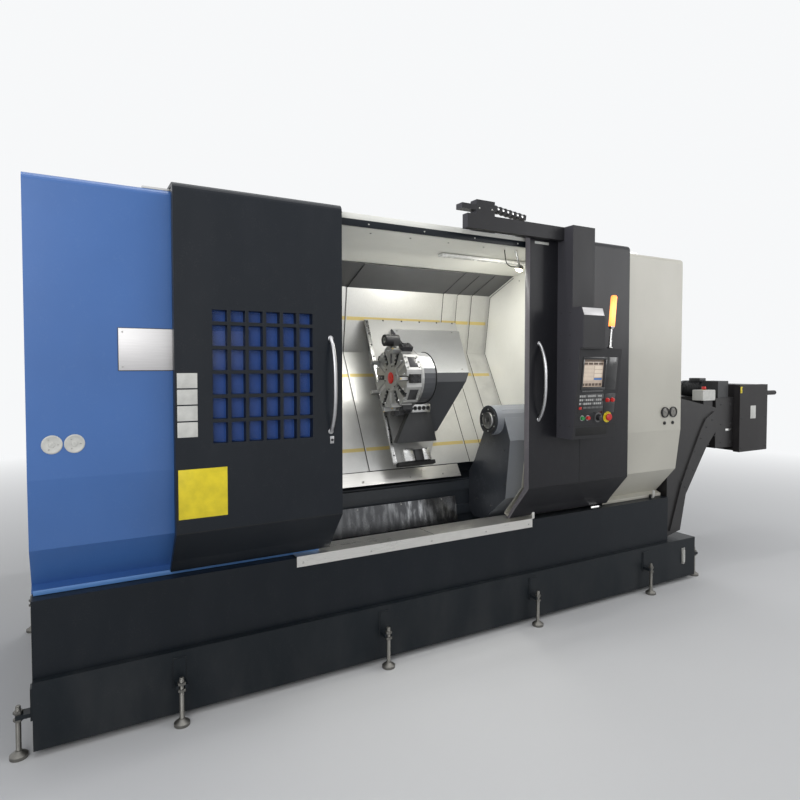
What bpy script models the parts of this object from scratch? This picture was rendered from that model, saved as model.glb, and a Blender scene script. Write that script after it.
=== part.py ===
"""CNC turning lathe with a slant bed, a twelve station turret and two sliding doors.

Metres, +Z up.  Every piece is placed by three distances: its station along the machine
from the left end, its depth behind the doors' front faces, and its height above the floor.
All pieces hang on one empty that centres the machine on the world origin.
"""
import math

import bmesh
import bpy
from mathutils import Matrix, Vector
from mathutils.geometry import intersect_line_line_2d

# Gaps that neighbouring pieces keep
SEAT = 0.0003
RUNNING_GAP = 0.0006
SLIDE_GAP = 0.005
OVERRUN = 0.02
MERGE = 0.0001

# Enclosure
COVER_SETBACK = 0.06
COVER_TOP = 2.276
COVER_EDGE_RADIUS = 0.03
SHEET = 0.003
OPENING_LEFT = 1.24
OPENING_RIGHT = 2.46
RIGHT_COVER_LENGTH = 1.392
FOLD_HIGH = 1.108
FOLD_LOW = 0.83
FOLD_LOW_DEPTH = 0.095
COVER_BOTTOM = 0.65
COVER_BOTTOM_DEPTH = 0.25
LIP_DEPTH = 0.212
LIP_HEIGHT = 0.013

# Tank, skirt and feet
FLOOR_GAP = 0.028
TANK_TAIL = 0.268
TANK_FRONT = 0.12
TANK_REAR_LEDGE = 0.03
TANK_TOP = 0.302
TANK_WALL = 0.006
TANK_RIM = 0.05
SKIRT_FRONT = 0.15
SKIRT_REAR_SETBACK = 0.08
SKIRT_TOP = 0.615
SHELF_DEPTH = 0.15
FOOT_FIRST = 0.549
FOOT_LAST_INSET = 0.541
FOOT_COUNT = 4
END_FOOT_INSET = 0.04
FOOT_REACH = 0.05
BRACKET_WIDTH = 0.05
BRACKET_TOP = 0.273
BRACKET_BOTTOM = 0.161
LUG_THICKNESS = 0.016
FOOT_ROD_RADIUS = 0.009
FOOT_DISC_RADIUS = 0.032
FOOT_DISC_HEIGHT = 0.014
FOOT_NUT_RADIUS = 0.015
FOOT_NUT_HEIGHT = 0.012

# Slanted bed and the telescopic covers in front of it
COVER_FOOT_DEPTH = 0.61
COVER_FOOT_HEIGHT = 0.915
COVER_BEND_DEPTH = 0.99
COVER_BEND_HEIGHT = 1.635
COVER_SHOULDER_DEPTH = 0.93
COVER_SHOULDER_HEIGHT = 2.05
COVER_CROWN_DEPTH = 0.665
COVER_CROWN_HEIGHT = 2.16
BED_SETBACK = 0.20
BED_LEFT = 0.15
BED_END_SPACE = 0.152
BED_FRONT = 0.66
BED_KNEE_HEIGHT = 0.80
BED_CREST = 0.14
BED_REACH = 0.39
REAR_SPACE = 0.17
RAIL_WIDTH = 0.045
RAIL_HEIGHT = 0.04
RAIL_LOW_SHARE = 0.14
RAIL_HIGH_SHARE = 0.86
SCREW_SHARE = 0.5
WAY_HEIGHT = 0.06
WAY_PROUD = 0.025
WAY_LOW = 0.60
WAY_HIGH = 0.76

# Work area
WALL_LEFT = 0.92
WALL_RIGHT = 2.872
WALL_SHEET = 0.004
CEILING_FRONT = 0.0905
CEILING_HEIGHT = 2.225
CEILING_CREASE_DEPTH = 0.42
CEILING_CREASE_HEIGHT = 2.195
DEFLECTOR_RIGHT = 2.27
HEADER_HEIGHT = 0.05
HEADER_BOTTOM = 2.185
SILL_HEIGHT = 0.045
SILL_LEFT = 1.098
SILL_RIGHT = 2.59
TRAY_TOP = 0.622
TRAY_BACK_DEPTH = 0.40
TRAY_BACK_HEIGHT = 0.592

# Doors
DOOR_THICKNESS = 0.04
DOOR_FOOT_THICKNESS = 0.022
DOOR_TOP = 2.30
DOOR_TOP_RADIUS = 0.03
DOOR_FLANGE = 0.015
DOOR_FLANGE_DEPTH = 0.10
DOOR_KNEE = 0.842
DOOR_MID_HEIGHT = 0.70
DOOR_MID_DEPTH = 0.12
DOOR_BOTTOM = 0.64
DOOR_BOTTOM_DEPTH = 0.165
LEFT_DOOR_LEFT = 0.524
LEFT_DOOR_WIDTH = 0.751
RIGHT_DOOR_LEFT = 2.428
RIGHT_DOOR_WIDTH = 0.821
ROOF_RAIL_LEFT = 0.42
ROOF_RAIL_RIGHT = 3.42
ROOF_RAIL_DEPTH = 0.053
ROOF_RAIL_WIDTH = 0.036
GRID_LEFT = 0.678
GRID_BOTTOM = 1.216
GRID_COLUMNS = 6
GRID_ROWS = 6
GRID_PITCH_X = 0.0773
GRID_PITCH_Z = 0.1036
PANE_OPEN_X = 0.0625
PANE_OPEN_Z = 0.088
PANE_OPEN_TOP = 0.049
PANE_MARGIN = 0.02
PANE_THICKNESS = 0.006
HANDLE_TUBE = 0.0095
HANDLE_REACH = 0.055
HANDLE_TOP = 1.673
HANDLE_BOTTOM = 1.239
LEFT_HANDLE_INSET = 0.059
RIGHT_HANDLE_INSET = 0.072

# Console on the right door
CONSOLE_LEFT = 2.637
TOWER_WIDTH = 0.172
TOWER_DEPTH = 0.119
TOWER_TOP = 2.337
TOWER_BOTTOM = 1.876
HEAD_DEPTH = 0.202
HEAD_SLOPE_DEPTH = 0.183
HEAD_SLOPE_HEIGHT = 1.825
HEAD_BOTTOM = 1.646
SCREEN_WIDTH = 0.338
SCREEN_TOP_DEPTH = 0.18
SCREEN_FOOT_DEPTH = 0.127
SCREEN_FOOT_HEIGHT = 1.127
SCREEN_RECESS = 0.012
LCD_LEFT = 0.043
LCD_WIDTH = 0.165
LCD_TOP = 0.066
LCD_HEIGHT = 0.157
BUTTON_RADIUS = 0.011
BUTTON_PROUD = 0.012
BUTTON_STROKE = 0.004
BUTTON_DROP = 0.40
BORE_DEPTH = 0.016
START_INSET = 0.06
HOLD_INSET = 0.105
KNOB_RADIUS = 0.02
KNOB_HEIGHT = 0.022
KNOB_INSET = 0.19
STOP_INSET = 0.265
STOP_HEAD_RADIUS = 0.022
STOP_HEAD_HEIGHT = 0.014
STOP_STEM_RADIUS = 0.01
STOP_STEM_LENGTH = 0.016
STOP_STROKE = 0.006
BEAM_LEFT = 1.96
BEAM_BOTTOM = 2.262
BEAM_FRONT = 0.05
BEAM_BACK = 0.004
LAMP_INSET = 0.313
LAMP_DEPTH = 0.11
LAMP_RADIUS = 0.018
LAMP_POST_RADIUS = 0.009
LAMP_POST_HEIGHT = 0.145
LAMP_LENGTH = 0.177
LAMP_TILT_DEG = 6.0

# Cable carrier
MAST_LEFT = 2.18
MAST_WIDTH = 0.13
MAST_HEIGHT = 0.2117
MAST_DEPTH = 0.06
MAST_ARM = 0.10
MAST_ARM_HEIGHT = 0.03
CHAIN_LINKS = 7
CHAIN_LINK_LENGTH = 0.036
CHAIN_LINK_HEIGHT = 0.03
CHAIN_WIDTH = 0.044
CHAIN_DROP_DEG = 7.0

# Headstock, spindle and chuck
SPINDLE_DEPTH = 0.362
SPINDLE_HEIGHT = 1.209
SPINDLE_RADIUS = 0.065
SPINDLE_BORE = 0.033
HEADSTOCK_LEFT = 0.26
HEADSTOCK_RIGHT = 0.905
HEADSTOCK_FRONT = 0.13
HEADSTOCK_BOTTOM = 0.99
HEADSTOCK_TOP = 1.52
HEADSTOCK_CHAMFER = 0.12
SPINDLE_NOSE_RADIUS = 0.095
CHUCK_RADIUS = 0.16
CHUCK_LENGTH = 0.11
CHUCK_LEFT = 0.985
JAW_COUNT = 3
JAW_WIDTH = 0.042
JAW_INNER = 0.045
JAW_OUTER = 0.145
JAW_STEP = 0.10
JAW_HEIGHT = 0.05
JAW_SLOT_DEPTH = 0.016
PULLEY_LEFT = 0.062
PULLEY_WIDTH = 0.07
PULLEY_RADIUS = 0.12
MOTOR_PULLEY_RADIUS = 0.08
BELT_THICKNESS = 0.007
MOTOR_LEFT = 0.20
MOTOR_LENGTH = 0.46
MOTOR_SIZE = 0.28
MOTOR_DEPTH = 0.58
MOTOR_SHAFT = 0.025

# Carriage, cross slide and turret
CARRIAGE_COVER_LEFT = 1.722
CARRIAGE_COVER_WIDTH = 0.736
LEFT_MID_LEFT = 1.372
LEFT_MID_WIDTH = 0.43
LEFT_END_LEFT = 1.122
LEFT_END_WIDTH = 0.33
RIGHT_MID_LEFT = 2.202
RIGHT_MID_WIDTH = 0.498
RIGHT_END_LEFT = 2.452
RIGHT_END_WIDTH = 0.41
FIXED_LEFT_WIDTH = 0.28
FIXED_RIGHT_WIDTH = 0.30
SADDLE_LEFT = 1.78
SADDLE_WIDTH = 0.58
SADDLE_NECK_LEFT = 1.965
SADDLE_NECK_WIDTH = 0.21
SADDLE_COVER_GAP = 0.034
SLIDE_LEAN_DEG = 24.0
SLIDE_FOOT_DEPTH = 0.53
SLIDE_FOOT_HEIGHT = 0.955
SLIDE_TOP_GAP = 0.0562
SLIDE_PLATE = 0.006
SLIDE_LEFT = 1.842
SLIDE_RIGHT = 2.562
BASE_LEFT = 1.90
BASE_RIGHT_LOW = 2.085
TAPER_START = 0.19
TAPER_START_X = 2.19
TAPER_RATE = 0.514
TURRET_RISE = 0.4547
TURRET_STAND = 0.257
TURRET_FACE = 1.797
DISC_RADIUS = 0.185
DISC_THICKNESS = 0.10
DISC_BACK_RADIUS = 0.165
DISC_BACK_THICKNESS = 0.03
STATIONS = 12
STATION_SLOT_WIDTH = 0.028
STATION_SLOT_DEPTH = 0.012
STATION_SLOT_INNER = 0.085
TURRET_NECK_RADIUS = 0.15
NECK_LENGTH = 0.093
HOUSING_TOP_GAP = 0.075
HOUSING_LIP = 0.47
HOUSING_LIP_STAND = 0.297
HOUSING_CHIN = 0.415
HOUSING_CHIN_STAND = 0.283
HOUSING_FOOT = 0.19
HOUSING_EDGE = 0.02
TOOL_BLOCK_WIDTH = 0.05
TOOL_BLOCK_LENGTH = 0.075
TOOL_BLOCK_HEIGHT = 0.034
TOOL_SHANK = 0.018
TOOL_SHANK_LENGTH = 0.05
BAR_HOLDER_RADIUS = 0.034
BAR_HOLDER_LENGTH = 0.09
BAR_HOLDER_BORE = 0.017

# Screw drive of the carriage
SCREW_RADIUS = 0.02
SCREW_STAND = 0.045
NECK_LOW_SHARE = 0.3
NECK_HIGH_SHARE = 0.7
SCREW_LEFT = 1.02
SCREW_RIGHT = 3.02
BEARING_LENGTH = 0.07
BEARING_SIZE = 0.085
NUT_RADIUS = 0.036
FEED_MOTOR_LENGTH = 0.26
FEED_MOTOR_SIZE = 0.13

# Tailstock
TAIL_FACE = 2.4215
NOSE_LENGTH = 0.05
NOSE_RADIUS = 0.092
TAIL_LENGTH = 0.36
TAIL_FRONT = 0.216
TAIL_FOOT = 0.56
TAIL_HEEL = 0.04
TAIL_OVER_WAY = 0.09
TAIL_SHOULDER = 0.08
TAIL_FRONT_SHARES = ((0.131, 1.029), (0, 0.823), (0.103, 0.268), (0.619, 0), (0.881, 0))
TAIL_SHOULDER_SHARE = 0.857
TAIL_THROAT_SHARES = (0.6365, 0.8536)
QUILL_RADIUS = 0.05
QUILL_LENGTH = 0.32
QUILL_PROUD = 0.012
CENTRE_BORE = 0.018

# Chip conveyor
CONVEYOR_FRONT = 0.18
CONVEYOR_BACK = 0.62
TROUGH_LEFT = 0.95
TROUGH_FLOOR = 0.32
TROUGH_TOP = 0.50
TROUGH_SHEET = 0.005
LEG_WIDTH = 0.06
BELT_HEIGHT = 0.03
CLEAT_PITCH = 0.19
CLEAT_HEIGHT = 0.03
CLEAT_WIDTH = 0.012
ELBOW_GAP = 0.028
ELBOW_LENGTH = 0.595
ELBOW_TOP = 1.315
ELBOW_SHARES = ((0, 0), (0.26, 0.03), (0.361, 0.286), (0.748, 0.613), (0.992, 0.761),
                (0.933, 0.915), (0.193, 1), (0.084, 0.97), (0, 0.844))
RIB_SHARES = ((0.042, 0.04), (0.235, 0.07), (0.323, 0.291), (0.706, 0.615), (0.941, 0.759),
              (0.882, 0.889), (0.706, 0.834), (0.563, 0.701), (0.235, 0.352))
RIB_PROUD = 0.012
HEAD_LENGTH = 0.245
HEAD_TOP = 1.30
HEAD_FLOOR = 0.92
CHUTE_LENGTH = 0.2397
CHUTE_TOP = 1.40
CHUTE_FOOT = 0.88
CHUTE_SHEET = 0.004
GUARD_LAP = 0.06
GUARD_LENGTH = 0.37
GUARD_THICKNESS = 0.05
SHAFT_HEIGHT = 1.33
SHAFT_RADIUS = 0.018
SHAFT_STUB = 0.14
GEAR_MOTOR_RADIUS = 0.06
GEAR_MOTOR_LENGTH = 0.20
GEARBOX_SIZE = 0.13
CONTROL_BOX_GAP = 0.045
CONTROL_BOX_LOW = 1.285
CONTROL_BOX_WIDTH = 0.15
CONTROL_BOX_HEIGHT = 0.08
CONTROL_BOX_DEPTH = 0.09
CONTROL_BOX_EDGE = 0.004
CONTROL_STOP_RADIUS = 0.016

# Electrical cabinet on the back
CABINET_LEFT = 1.95
CABINET_WIDTH = 1.25
CABINET_DEPTH = 0.30
CABINET_BOTTOM = 0.72
CABINET_TOP = 2.12
CABINET_SHEET = 0.003
CABINET_DOOR = 0.018
CABINET_DOOR_EDGE = 0.003
SWITCH_RADIUS = 0.03
SWITCH_LENGTH = 0.02

# Sizes that follow from the ones above
LAYER_PITCH = SHEET + SEAT
ENCLOSURE_LENGTH = OPENING_RIGHT + RIGHT_COVER_LENGTH
TANK_LENGTH = ENCLOSURE_LENGTH + TANK_TAIL
FOOT_PITCH = (TANK_LENGTH - FOOT_FIRST - FOOT_LAST_INSET) / (FOOT_COUNT - 1)
HOUSING_LEFT = TURRET_FACE + DISC_THICKNESS + DISC_BACK_THICKNESS + NECK_LENGTH
BED_RIGHT = ENCLOSURE_LENGTH - BED_END_SPACE
BED_BACK = COVER_BEND_DEPTH + BED_REACH
ENCLOSURE_DEPTH = BED_BACK + REAR_SPACE
SKIRT_BACK = ENCLOSURE_DEPTH - SKIRT_REAR_SETBACK
TANK_BACK = SKIRT_BACK + TANK_REAR_LEDGE
ELBOW_LEFT = ENCLOSURE_LENGTH + ELBOW_GAP
HEAD_LEFT = ELBOW_LEFT + ELBOW_LENGTH
HEAD_RIGHT = HEAD_LEFT + HEAD_LENGTH
CHUTE_LEFT = HEAD_RIGHT + SEAT
CHUTE_RIGHT = CHUTE_LEFT + CHUTE_LENGTH
GUARD_LEFT = HEAD_RIGHT - GUARD_LAP
GUARD_RIGHT = GUARD_LEFT + GUARD_LENGTH
CONTROL_BOX_RIGHT = HEAD_LEFT - CONTROL_BOX_GAP
MAST_TOP = COVER_TOP + SEAT + MAST_HEIGHT

# Overall reach, which centres the machine on the origin
X_MIN = -FOOT_REACH - FOOT_DISC_RADIUS
X_MAX = GUARD_RIGHT + SHAFT_STUB
Y_MIN = -HEAD_DEPTH
Y_MAX = ENCLOSURE_DEPTH + SHEET + CABINET_DEPTH + CABINET_DOOR + SWITCH_LENGTH

for old in list(bpy.data.objects):
    bpy.data.objects.remove(old, do_unlink=True)

machine = bpy.data.collections.new("turning_lathe")
cutters = bpy.data.collections.new("cutters")
bpy.context.scene.collection.children.link(machine)
bpy.context.scene.collection.children.link(cutters)

origin = bpy.data.objects.new("machine_origin", None)
origin.location = (-(X_MIN + X_MAX) / 2, -(Y_MIN + Y_MAX) / 2, 0)
machine.objects.link(origin)


def finish(name, colour, roughness, metallic=0.0):
    """A Principled material for one kind of surface."""
    material = bpy.data.materials.new(name)
    material.use_nodes = True
    shader = material.node_tree.nodes["Principled BSDF"]
    shader.inputs["Base Color"].default_value = (*colour, 1)
    shader.inputs["Roughness"].default_value = roughness
    shader.inputs["Metallic"].default_value = metallic
    return material


BLUE = finish("blue_paint", (0.07, 0.17, 0.45), 0.4)
WHITE = finish("white_paint", (0.58, 0.56, 0.50), 0.4)
INNER_WHITE = finish("inner_white", (0.80, 0.80, 0.72), 0.5)
DARK = finish("dark_paint", (0.025, 0.029, 0.036), 0.45)
CHARCOAL = finish("charcoal_paint", (0.045, 0.045, 0.052), 0.45)
STAINLESS = finish("stainless", (0.60, 0.60, 0.58), 0.3, 1.0)
STEEL = finish("ground_steel", (0.55, 0.55, 0.56), 0.25, 1.0)
IRON = finish("cast_iron", (0.12, 0.13, 0.14), 0.6)
TAIL_BLUE = finish("tailstock_paint", (0.28, 0.33, 0.38), 0.4)
BLACK = finish("black_oxide", (0.02, 0.02, 0.022), 0.4)
RUBBER = finish("rubber", (0.015, 0.015, 0.015), 0.8)
GLASS = finish("glass", (0.5, 0.6, 0.65), 0.05)
RED = finish("red_plastic", (0.6, 0.03, 0.02), 0.35)
AMBER = finish("amber_lens", (1.0, 0.35, 0.08), 0.3)
MOTOR_GREY = finish("motor_grey", (0.25, 0.25, 0.25), 0.5)


def place(name, mesh, material, location=(0, 0, 0), rotation=None):
    """Put a mesh in the machine under its node name."""
    mesh.name = name
    mesh.materials.clear()
    mesh.materials.append(material)
    piece = bpy.data.objects.new(name, mesh)
    piece.location = location
    if rotation is not None:
        piece.rotation_euler = rotation.to_euler()
    piece.parent = origin
    machine.objects.link(piece)
    return piece


def mesh_from(shape):
    """Turn a filled bmesh into a mesh with its faces outwards."""
    bmesh.ops.recalc_face_normals(shape, faces=shape.faces)
    mesh = bpy.data.meshes.new("shape")
    shape.to_mesh(mesh)
    shape.free()
    return mesh


def add_block(shape, x0, x1, y0, y1, z0, z1):
    """Add a box between two corners to a bmesh."""
    size = Matrix.Diagonal((x1 - x0, y1 - y0, z1 - z0, 1))
    centre = Matrix.Translation(((x0 + x1) / 2, (y0 + y1) / 2, (z0 + z1) / 2))
    bmesh.ops.create_cube(shape, size=1, matrix=centre @ size)


def block_mesh(x0, x1, y0, y1, z0, z1):
    shape = bmesh.new()
    add_block(shape, x0, x1, y0, y1, z0, z1)
    return mesh_from(shape)


def block(name, x0, x1, y0, y1, z0, z1, material, bevel=0.0):
    piece = place(name, block_mesh(x0, x1, y0, y1, z0, z1), material)
    if bevel:
        soften(piece, bevel)
    return piece


def soften(piece, width, segments=2):
    bevel = piece.modifiers.new("edges", "BEVEL")
    bevel.width = width
    bevel.segments = segments
    bevel.limit_method = "ANGLE"


# Local axes of an outline: where its own X, Y and thickness directions point
SIDE_VIEW = Matrix(((0, 0, 1), (1, 0, 0), (0, 1, 0)))
FRONT_VIEW = Matrix(((1, 0, 0), (0, 0, -1), (0, 1, 0)))


def outline_mesh(points, thickness, holes=()):
    """A flat outline, with holes, as a closed solid from 0 to its thickness."""
    curve = bpy.data.curves.new("outline", "CURVE")
    curve.dimensions = "2D"
    curve.fill_mode = "BOTH"
    curve.extrude = thickness / 2
    for loop in (points, *holes):
        spline = curve.splines.new("POLY")
        spline.points.add(len(loop) - 1)
        for target, (u, v) in zip(spline.points, loop):
            target.co = (u, v, 0, 1)
        spline.use_cyclic_u = True
    guide = bpy.data.objects.new("outline", curve)
    bpy.context.scene.collection.objects.link(guide)
    graph = bpy.context.evaluated_depsgraph_get()
    mesh = bpy.data.meshes.new_from_object(guide.evaluated_get(graph))
    bpy.data.objects.remove(guide)
    shape = bmesh.new()
    shape.from_mesh(mesh)
    bmesh.ops.remove_doubles(shape, verts=shape.verts, dist=MERGE / 2)
    bmesh.ops.translate(shape, verts=shape.verts, vec=(0, 0, thickness / 2))
    return mesh_from(shape)


def side_solid(name, points, x0, x1, material, holes=()):
    """Depth and height outline drawn from the left, pulled from x0 to x1."""
    mesh = outline_mesh(points, x1 - x0, holes)
    return place(name, mesh, material, (x0, 0, 0), SIDE_VIEW)


def arc(cx, cy, radius, start_deg, end_deg, steps):
    """Points on an arc, both ends included."""
    angles = [math.radians(start_deg + (end_deg - start_deg) * i / steps) for i in range(steps + 1)]
    return [(cx + radius * math.cos(a), cy + radius * math.sin(a)) for a in angles]


def circle(cx, cy, radius, steps=32):
    return arc(cx, cy, radius, 0, 360, steps)[:-1]


def beside(points, distance):
    """The open line of points moved sideways, to its right, by a distance."""
    moved = []
    for i, point in enumerate(points):
        here = Vector(point)
        before = (here - Vector(points[i - 1])).normalized() if i else None
        after = (Vector(points[i + 1]) - here).normalized() if i + 1 < len(points) else None
        first = before or after
        last = after or before
        normal = (Vector((first.y, -first.x)) + Vector((last.y, -last.x))).normalized()
        reach = distance / normal.dot(Vector((first.y, -first.x)))
        moved.append(tuple(here + normal * reach))
    return moved


def sheet(name, points, thickness, x0, x1, material):
    """A folded sheet: an open side line given a thickness on its right."""
    outline = list(points) + beside(points, thickness)[::-1]
    return side_solid(name, outline, x0, x1, material)


def turned_mesh(profile):
    """A turned shape about local Z from (radius, height) points, top to bottom."""
    mesh = bpy.data.meshes.new("profile")
    mesh.from_pydata([(r, 0, h) for r, h in profile], [(i, i + 1) for i in range(len(profile) - 1)], [])
    return mesh


def turned(name, profile, steps, material, location, rotation=None):
    piece = place(name, turned_mesh(profile), material, location, rotation)
    screw = piece.modifiers.new("turn", "SCREW")
    screw.angle = math.tau
    screw.steps = steps
    screw.render_steps = steps
    screw.use_merge_vertices = True
    screw.merge_threshold = MERGE
    screw.use_smooth_shade = True
    return piece


# Rotations that lay a turned piece's own +Z along a machine axis
ALONG_X = Matrix(((0, 0, 1), (0, 1, 0), (-1, 0, 0)))
ALONG_Y = Matrix(((1, 0, 0), (0, 0, 1), (0, -1, 0)))


def rod_mesh(radius, length, steps=24, bore=0.0):
    """A cylinder, or a tube, from local Z 0 up to its length."""
    holes = (circle(0, 0, bore, steps),) if bore else ()
    return outline_mesh(circle(0, 0, radius, steps), length, holes)


def round_shading(piece):
    piece.data.shade_smooth()
    piece.data.set_sharp_from_angle(angle=math.radians(35))


def rod(name, radius, length, material, location, rotation=None, steps=24, bore=0.0):
    piece = place(name, rod_mesh(radius, length, steps, bore), material, location, rotation)
    round_shading(piece)
    return piece


def joined(meshes):
    """Several meshes, each with its own matrix, as one mesh of separate solids."""
    shape = bmesh.new()
    for mesh, matrix in meshes:
        part = mesh.copy()
        part.transform(matrix)
        shape.from_mesh(part)
        bpy.data.meshes.remove(part)
    mesh = bpy.data.meshes.new("group")
    shape.to_mesh(mesh)
    shape.free()
    return mesh


def boolean(piece, mesh, operation="DIFFERENCE", location=(0, 0, 0), rotation=None):
    """Cut a mesh out of a piece, or join it on, in machine distances."""
    tool = bpy.data.objects.new(piece.name + "_tool", mesh)
    tool.location = location
    if rotation is not None:
        tool.rotation_euler = rotation.to_euler()
    tool.parent = origin
    tool.hide_render = True
    tool.display_type = "WIRE"
    cutters.objects.link(tool)
    modifier = piece.modifiers.new(operation.lower(), "BOOLEAN")
    modifier.operation = operation
    modifier.object = tool
    return modifier


def blocks_mesh(corners):
    """Separate boxes in one mesh."""
    shape = bmesh.new()
    for corner in corners:
        add_block(shape, *corner)
    return mesh_from(shape)


# Tank: a welded box with an inward rim that carries the skirt, and a closed deck under the conveyor
tank = block("coolant_tank", 0, TANK_LENGTH, TANK_FRONT, TANK_BACK, FLOOR_GAP, TANK_TOP, DARK)
tank_floor = FLOOR_GAP + TANK_WALL
boolean(tank, block_mesh(TANK_WALL, TANK_LENGTH - TANK_WALL, TANK_FRONT + TANK_WALL,
                         TANK_BACK - TANK_WALL, tank_floor, TANK_TOP - TANK_WALL))
boolean(tank, block_mesh(TANK_RIM, ENCLOSURE_LENGTH - TANK_RIM, TANK_FRONT + TANK_RIM,
                         TANK_BACK - TANK_RIM, TANK_TOP - TANK_WALL - OVERRUN, TANK_TOP + OVERRUN))

# Skirt: folded sheet round the machine's foot, with a shelf on top that the covers stand on
skirt_foot = TANK_TOP + SEAT
skirt = block("base_skirt", 0, ENCLOSURE_LENGTH, SKIRT_FRONT, SKIRT_BACK, skirt_foot, SKIRT_TOP, DARK)
boolean(skirt, block_mesh(SHEET, ENCLOSURE_LENGTH - SHEET, SKIRT_FRONT + SHEET, SKIRT_BACK - SHEET,
                          skirt_foot - OVERRUN, SKIRT_TOP - SHEET))
boolean(skirt, block_mesh(SHELF_DEPTH, ENCLOSURE_LENGTH - SHELF_DEPTH, SKIRT_FRONT + SHELF_DEPTH,
                          SKIRT_BACK - SHELF_DEPTH / 2, SKIRT_TOP - SHEET - OVERRUN, SKIRT_TOP + OVERRUN))

boolean(skirt, block_mesh(ENCLOSURE_LENGTH - SHEET - OVERRUN, ENCLOSURE_LENGTH + OVERRUN,
                          CONVEYOR_FRONT - SLIDE_GAP, CONVEYOR_BACK + SLIDE_GAP,
                          skirt_foot - OVERRUN, TROUGH_TOP + SLIDE_GAP))

# Levelling feet: slotted brackets welded on the tank wall, each with a screw, a nut and a disc
lug_plan = [(-BRACKET_WIDTH / 2, 0), (BRACKET_WIDTH / 2, 0),
            (BRACKET_WIDTH / 2, -FOOT_REACH - FOOT_ROD_RADIUS),
            (FOOT_ROD_RADIUS + SLIDE_GAP / 2, -FOOT_REACH - FOOT_ROD_RADIUS),
            (FOOT_ROD_RADIUS + SLIDE_GAP / 2, -FOOT_REACH + FOOT_ROD_RADIUS + SLIDE_GAP / 2),
            (-FOOT_ROD_RADIUS - SLIDE_GAP / 2, -FOOT_REACH + FOOT_ROD_RADIUS + SLIDE_GAP / 2),
            (-FOOT_ROD_RADIUS - SLIDE_GAP / 2, -FOOT_REACH - FOOT_ROD_RADIUS),
            (-BRACKET_WIDTH / 2, -FOOT_REACH - FOOT_ROD_RADIUS)]


def bracket_mesh():
    """A wall plate with a slotted lug, welded into one."""
    lug = bpy.data.objects.new("lug", outline_mesh(lug_plan, LUG_THICKNESS))
    plate = block_mesh(-BRACKET_WIDTH / 2, BRACKET_WIDTH / 2, -LUG_THICKNESS / 2, TANK_WALL / 2,
                       -LUG_THICKNESS, BRACKET_TOP - BRACKET_BOTTOM)
    wall = bpy.data.objects.new("wall", plate)
    for item in (lug, wall):
        cutters.objects.link(item)
    union = lug.modifiers.new("weld", "BOOLEAN")
    union.operation = "UNION"
    union.object = wall
    graph = bpy.context.evaluated_depsgraph_get()
    mesh = bpy.data.meshes.new_from_object(lug.evaluated_get(graph))
    bpy.data.objects.remove(lug)
    bpy.data.objects.remove(wall)
    return mesh


def foot_places():
    """Bracket places: position on the tank's walls and the turn that faces them outwards."""
    places = []
    for i in range(FOOT_COUNT):
        station = FOOT_FIRST + i * FOOT_PITCH
        places.append((station, TANK_FRONT, 0))
        places.append((station, TANK_BACK, math.pi))
    for depth in (TANK_FRONT + END_FOOT_INSET, TANK_BACK - END_FOOT_INSET):
        places.append((0, depth, -math.pi / 2))
        places.append((TANK_LENGTH, depth, math.pi / 2))
    return [Matrix.Translation((x, y, BRACKET_BOTTOM)) @ Matrix.Rotation(turn, 4, "Z")
            for x, y, turn in places]


bracket = bracket_mesh()
boolean(tank, joined([(bracket, spot) for spot in foot_places()]), "UNION")
nut_sink = SLIDE_GAP / 5
nut_foot = BRACKET_BOTTOM + LUG_THICKNESS - nut_sink
nut_top = nut_foot + FOOT_NUT_HEIGHT
screw_top = nut_top + 2 * FOOT_ROD_RADIUS
foot_profile = [(0, screw_top), (FOOT_ROD_RADIUS, screw_top), (FOOT_ROD_RADIUS, nut_top),
                (FOOT_NUT_RADIUS, nut_top), (FOOT_NUT_RADIUS, nut_foot), (FOOT_ROD_RADIUS, nut_foot),
                (FOOT_ROD_RADIUS, 2 * FOOT_DISC_HEIGHT), (FOOT_DISC_RADIUS, FOOT_DISC_HEIGHT),
                (FOOT_DISC_RADIUS, 0), (0, 0)]


def spun_mesh(profile, steps):
    """A turned mesh made at once, to be copied into a group."""
    shape = bmesh.new()
    points = [shape.verts.new((r, 0, h)) for r, h in profile]
    edges = [shape.edges.new(pair) for pair in zip(points, points[1:])]
    bmesh.ops.spin(shape, geom=points + edges, cent=(0, 0, 0), axis=(0, 0, 1), angle=math.tau,
                   steps=steps, use_merge=True)
    bmesh.ops.remove_doubles(shape, verts=shape.verts, dist=MERGE)
    return mesh_from(shape)


foot = spun_mesh(foot_profile, 8)
rod_spots = [spot @ Matrix.Translation((0, -FOOT_REACH, -BRACKET_BOTTOM)) for spot in foot_places()]
boolean(tank, joined([(foot, spot) for spot in rod_spots]), "UNION")

# Slanted bed: the covers' side line, the slope behind it, and everything that rides on it
cover_line = [(COVER_CROWN_DEPTH, COVER_CROWN_HEIGHT), (COVER_SHOULDER_DEPTH, COVER_SHOULDER_HEIGHT),
              (COVER_BEND_DEPTH, COVER_BEND_HEIGHT), (COVER_FOOT_DEPTH, COVER_FOOT_HEIGHT)]
bed_foot = Vector((COVER_FOOT_DEPTH, COVER_FOOT_HEIGHT))
bed_slope = Vector((COVER_BEND_DEPTH, COVER_BEND_HEIGHT)) - bed_foot
BED_LENGTH = bed_slope.length
bed_up = bed_slope.normalized()
bed_in = Vector((bed_up.y, -bed_up.x))


def on_bed(rise, inward):
    """Depth and height of a point up the slope and behind the covers' face."""
    return tuple(bed_foot + bed_up * rise + bed_in * inward)


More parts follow.
